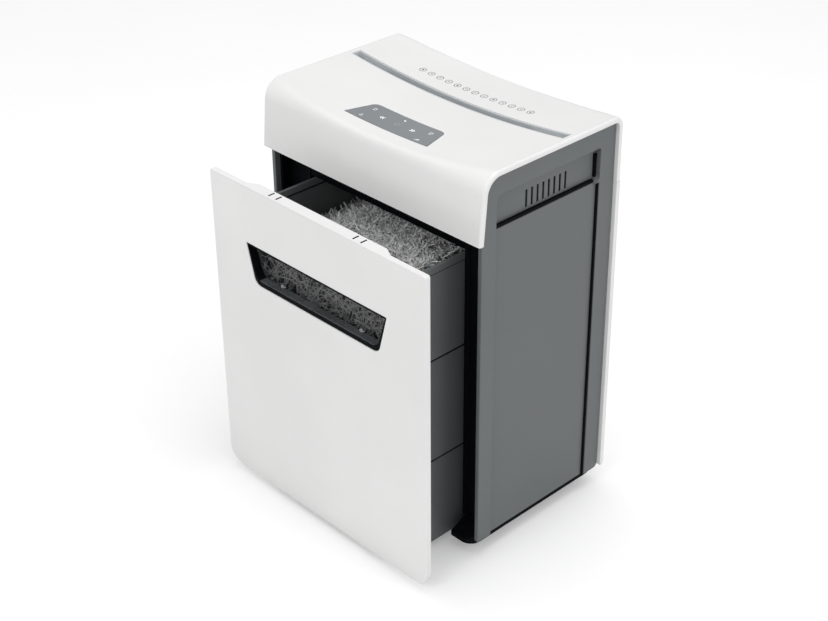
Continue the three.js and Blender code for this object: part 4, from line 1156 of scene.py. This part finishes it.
def scatter(name, patterns, places, front=-math.inf, top=math.inf):
    """Copies the strip patterns to a list of matrices, as one piece that stays behind front and under top."""
    bm = bmesh.new()
    for i, matrix in enumerate(places):
        pattern = patterns[i % len(patterns)].copy()
        pattern.transform(matrix)
        back = max(front - min(v.co.y for v in pattern.vertices), 0.0)
        down = max(max(v.co.z for v in pattern.vertices) - top, 0.0)
        pattern.transform(Matrix.Translation((0, back, -down)))
        bm.from_mesh(pattern)
        bpy.data.meshes.remove(pattern)
    return finish_piece(name, bm, "drawer", "cut_paper", sharp=50, level=False)


def strip_matrix(rng, place, tilt):
    turn = Matrix.Rotation(rng.uniform(0, 2 * math.pi), 4, "Z")
    lean = Matrix.Rotation(rng.uniform(-tilt, tilt), 4, "Y")
    roll = Matrix.Rotation(rng.choice((0, math.pi)) + rng.uniform(-0.9, 0.9), 4, "X")
    return Matrix.Translation(place) @ turn @ lean @ roll


class SHREDDER_OT_shreds(bpy.types.Operator):
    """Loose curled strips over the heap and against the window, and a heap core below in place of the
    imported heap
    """
    bl_idname = "shredder.shreds"
    bl_label = "Shredded Paper"

    def execute(self, context):
        paper = context.scene.shredder_paper
        rng = random.Random(paper.seed)
        patterns = strip_patterns(rng, paper.strip_length / MM, paper.strip_width / MM)
        self.make_heap()
        self.make_top(rng, patterns, paper.top_count)
        long_patterns = strip_patterns(rng, 1.5 * paper.strip_length / MM, 0.85 * paper.strip_width / MM)
        self.make_window(rng, long_patterns, paper.window_count)
        for pattern in patterns + long_patterns:
            bpy.data.meshes.remove(pattern)
        return {"FINISHED"}

    def make_heap(self):
        low, high = HEAP_LOW, HEAP_HIGH
        bm = bmesh.new()
        made = add_box(bm, (low.x + 2, low.y + 5, 262.0), (high.x - 2, high.y - 2, 300.0))
        bmesh.ops.subdivide_edges(bm, edges=list(bm.edges), cuts=30, use_grid_fill=True)
        for vert in bm.verts:
            share = (vert.co.z - 262.0) / 38.0
            if share > 0:
                rough = noise.noise(vert.co * 0.11) * 4.0
                target = heap_top(vert.co.x, vert.co.y) - 4.0 + rough
                vert.co.z = 262.0 + (target - 262.0) * share
        finish_piece("heap_core", bm, "drawer", "packed_paper", ["shredded_paper"])

    def make_top(self, rng, patterns, count):
        reach_x, front, rear = HEAP_HIGH.x - 4.0, HEAP_LOW.y + 6.0, HEAP_HIGH.y - 9.0
        places = []
        for _ in range(count):
            x = rng.uniform(-reach_x, reach_x)
            y = rng.uniform(front, rear)
            z = min(heap_top(x, y) + rng.uniform(-5.0, 3.0), BIN_HIGH.z - 5.0)
            places.append(strip_matrix(rng, (x, y, z), 0.6))
        half = len(places) // 2
        top = BIN_HIGH.z + 1.4
        scatter("loose_shreds_low", patterns, places[:half], top=top)
        scatter("loose_shreds_high", patterns, places[half:], top=top)

    def make_window(self, rng, patterns, count):
        """Strips pressed against the pane, thin where the bin's wall stands right behind them."""
        front = PANE_REAR
        reach = 107.0
        places = []
        for _ in range(count):
            x = rng.uniform(-reach, reach)
            ceiling = min(heap_top(x, front), BEZEL_HIGH.z)
            z = rng.uniform(BEZEL_LOW.z + 2, ceiling)
            by_wall = abs(x) > 88.0
            y = front + (1.3 if by_wall else rng.uniform(2.0, 11.0))
            tilt = 0.08 if by_wall else 0.7
            upright = Matrix.Rotation(math.pi / 2 + rng.uniform(-tilt, tilt), 4, "X")
            spin = Matrix.Rotation(rng.uniform(0, 2 * math.pi), 4, "Y")
            flatten = Matrix.Scale(0.25 if by_wall else 1.0, 4, (0, 1, 0))
            shorten = Matrix.Scale(0.55 if by_wall else 1.0, 4)
            places.append(Matrix.Translation((x, y, z)) @ flatten @ spin @ upright @ shorten)
        scatter("window_shreds", patterns, places, front=front + 0.5)


# ---------------------------------------------------------------- working parts


class SHREDDER_OT_mechanism(bpy.types.Operator):
    """Finishes of the cutting head, gears, motor and electrics"""
    bl_idname = "shredder.mechanism"
    bl_label = "Cutting Head"

    def execute(self, context):
        finishes = {
            "black_satin": ["head_tray", "front_comb", "rear_comb", "mains_inlet", "switch_housing",
                            "power_rocker", "reed_switch"],
            "zinc_steel": ["left_end_plate", "right_end_plate", "gear_plate", "tie_rod_1", "tie_rod_2",
                           "tie_rod_3", "front_sync_gear", "rear_sync_gear", "drive_gear", "motor_housing",
                           "motor_rotor"],
            "bronze": ["front_bush_left", "front_bush_right", "rear_bush_left", "rear_bush_right"],
            "cutter_steel": ["front_cutter", "rear_cutter"],
            "natural_nylon": ["idler_gear_a", "idler_gear_b"],
            "circuit_board": ["power_board"],
        }
        for material, nodes in finishes.items():
            for node in nodes:
                paint(node, material)
        return {"FINISHED"}


# ---------------------------------------------------------------- stage


def area_light(name, place, target, size, power, shape=(1.0, 1.0)):
    light = bpy.data.lights.new(name, "AREA")
    light.shape = "RECTANGLE"
    light.size, light.size_y = size * shape[0], size * shape[1]
    light.energy = power
    lamp = bpy.data.objects.new(name, light)
    lamp.location = place
    lamp.rotation_euler = (Vector(target) - Vector(place)).to_track_quat("-Z", "Y").to_euler()
    bpy.context.scene.collection.objects.link(lamp)


class SHREDDER_OT_stage(bpy.types.Operator):
    """Camera, pale floor and soft studio light"""
    bl_idname = "shredder.stage"
    bl_label = "Stage"

    def execute(self, context):
        settings = context.scene.shredder_stage
        azimuth, elevation = math.radians(45.41), math.radians(29.67)
        middle = Vector((0, 0, 0.24))
        distance, aside, above = 1.849, 0.028, 0.0379
        level = math.cos(elevation)
        back = Vector((math.sin(azimuth) * level, -math.cos(azimuth) * level, math.sin(elevation)))
        right = Vector((math.cos(azimuth), math.sin(azimuth), 0))
        up = back.cross(right)
        data = bpy.data.cameras.new("studio_camera")
        data.lens = settings.lens
        data.shift_x, data.shift_y = -0.03, -0.05
        camera = bpy.data.objects.new("studio_camera", data)
        camera.location = middle + back * distance + right * aside + up * above
        camera.rotation_euler = Matrix((right, up, back)).transposed().to_euler()
        context.scene.collection.objects.link(camera)
        context.scene.camera = camera
        bm = bmesh.new()
        bmesh.ops.create_grid(bm, x_segments=1, y_segments=1, size=settings.floor_size / 2)
        mesh = bpy.data.meshes.new("studio_floor")
        bm.to_mesh(mesh)
        bm.free()
        mesh.materials.append(bpy.data.materials["studio_floor"])
        floor = bpy.data.objects.new("studio_floor", mesh)
        context.scene.collection.objects.link(floor)
        area_light("key_softbox", (0.5, -2.7, 2.3), (0, 0, 0.25), 1.6, 22)
        area_light("top_softbox", (0.2, 0.2, 3.0), (0, 0, 0.3), 2.0, 24)
        area_light("side_fill", (2.7, 0.7, 1.4), (0, 0, 0.25), 1.4, 12)
        world = bpy.data.worlds.new("studio_world")
        context.scene.world = world
        world.use_nodes = True
        tree = world.node_tree
        strength = seen_by_camera(tree, 0.6, 1.0)
        feed(tree, tree.nodes["Background"], {"Color": (1.0, 1.0, 1.0, 1.0), "Strength": strength})
        context.scene.view_settings.view_transform = "Standard"
        return {"FINISHED"}


# ---------------------------------------------------------------- panel and run


STEPS = ("stage", "top_cover", "casings", "feed_slot", "controls", "drawer_front", "window", "waste_bin",
         "shreds", "mechanism")


class SHREDDER_PT_sidebar(bpy.types.Panel):
    """Lists the shredder's pieces and their settings"""
    bl_label = "Shredder"
    bl_idname = "SHREDDER_PT_sidebar"
    bl_space_type = "VIEW_3D"
    bl_region_type = "UI"
    bl_category = "Shredder"

    def draw(self, context):
        layout = self.layout
        scene = context.scene
        for group in (scene.shredder_casing, scene.shredder_paper, scene.shredder_stage):
            column = layout.column(align=True)
            for key in group.__annotations__:
                column.prop(group, key)
        for step in STEPS:
            layout.operator(f"shredder.{step}")


CLASSES = (
    CasingSettings,
    PaperSettings,
    StageSettings,
    SHREDDER_OT_stage,
    SHREDDER_OT_top_cover,
    SHREDDER_OT_casings,
    SHREDDER_OT_feed_slot,
    SHREDDER_OT_controls,
    SHREDDER_OT_drawer_front,
    SHREDDER_OT_window,
    SHREDDER_OT_waste_bin,
    SHREDDER_OT_shreds,
    SHREDDER_OT_mechanism,
    SHREDDER_PT_sidebar,
)


def register():
    for cls in CLASSES:
        bpy.utils.register_class(cls)
    bpy.types.Scene.shredder_casing = PointerProperty(type=CasingSettings)
    bpy.types.Scene.shredder_paper = PointerProperty(type=PaperSettings)
    bpy.types.Scene.shredder_stage = PointerProperty(type=StageSettings)


def unregister():
    for name in ("shredder_stage", "shredder_paper", "shredder_casing"):
        delattr(bpy.types.Scene, name)
    for cls in reversed(CLASSES):
        bpy.utils.unregister_class(cls)


def main():
    """Builds everything in order."""
    register()
    build_node_groups()
    build_materials()
    for step in STEPS:
        getattr(bpy.ops.shredder, step)()


if __name__ == "__main__":
    main()
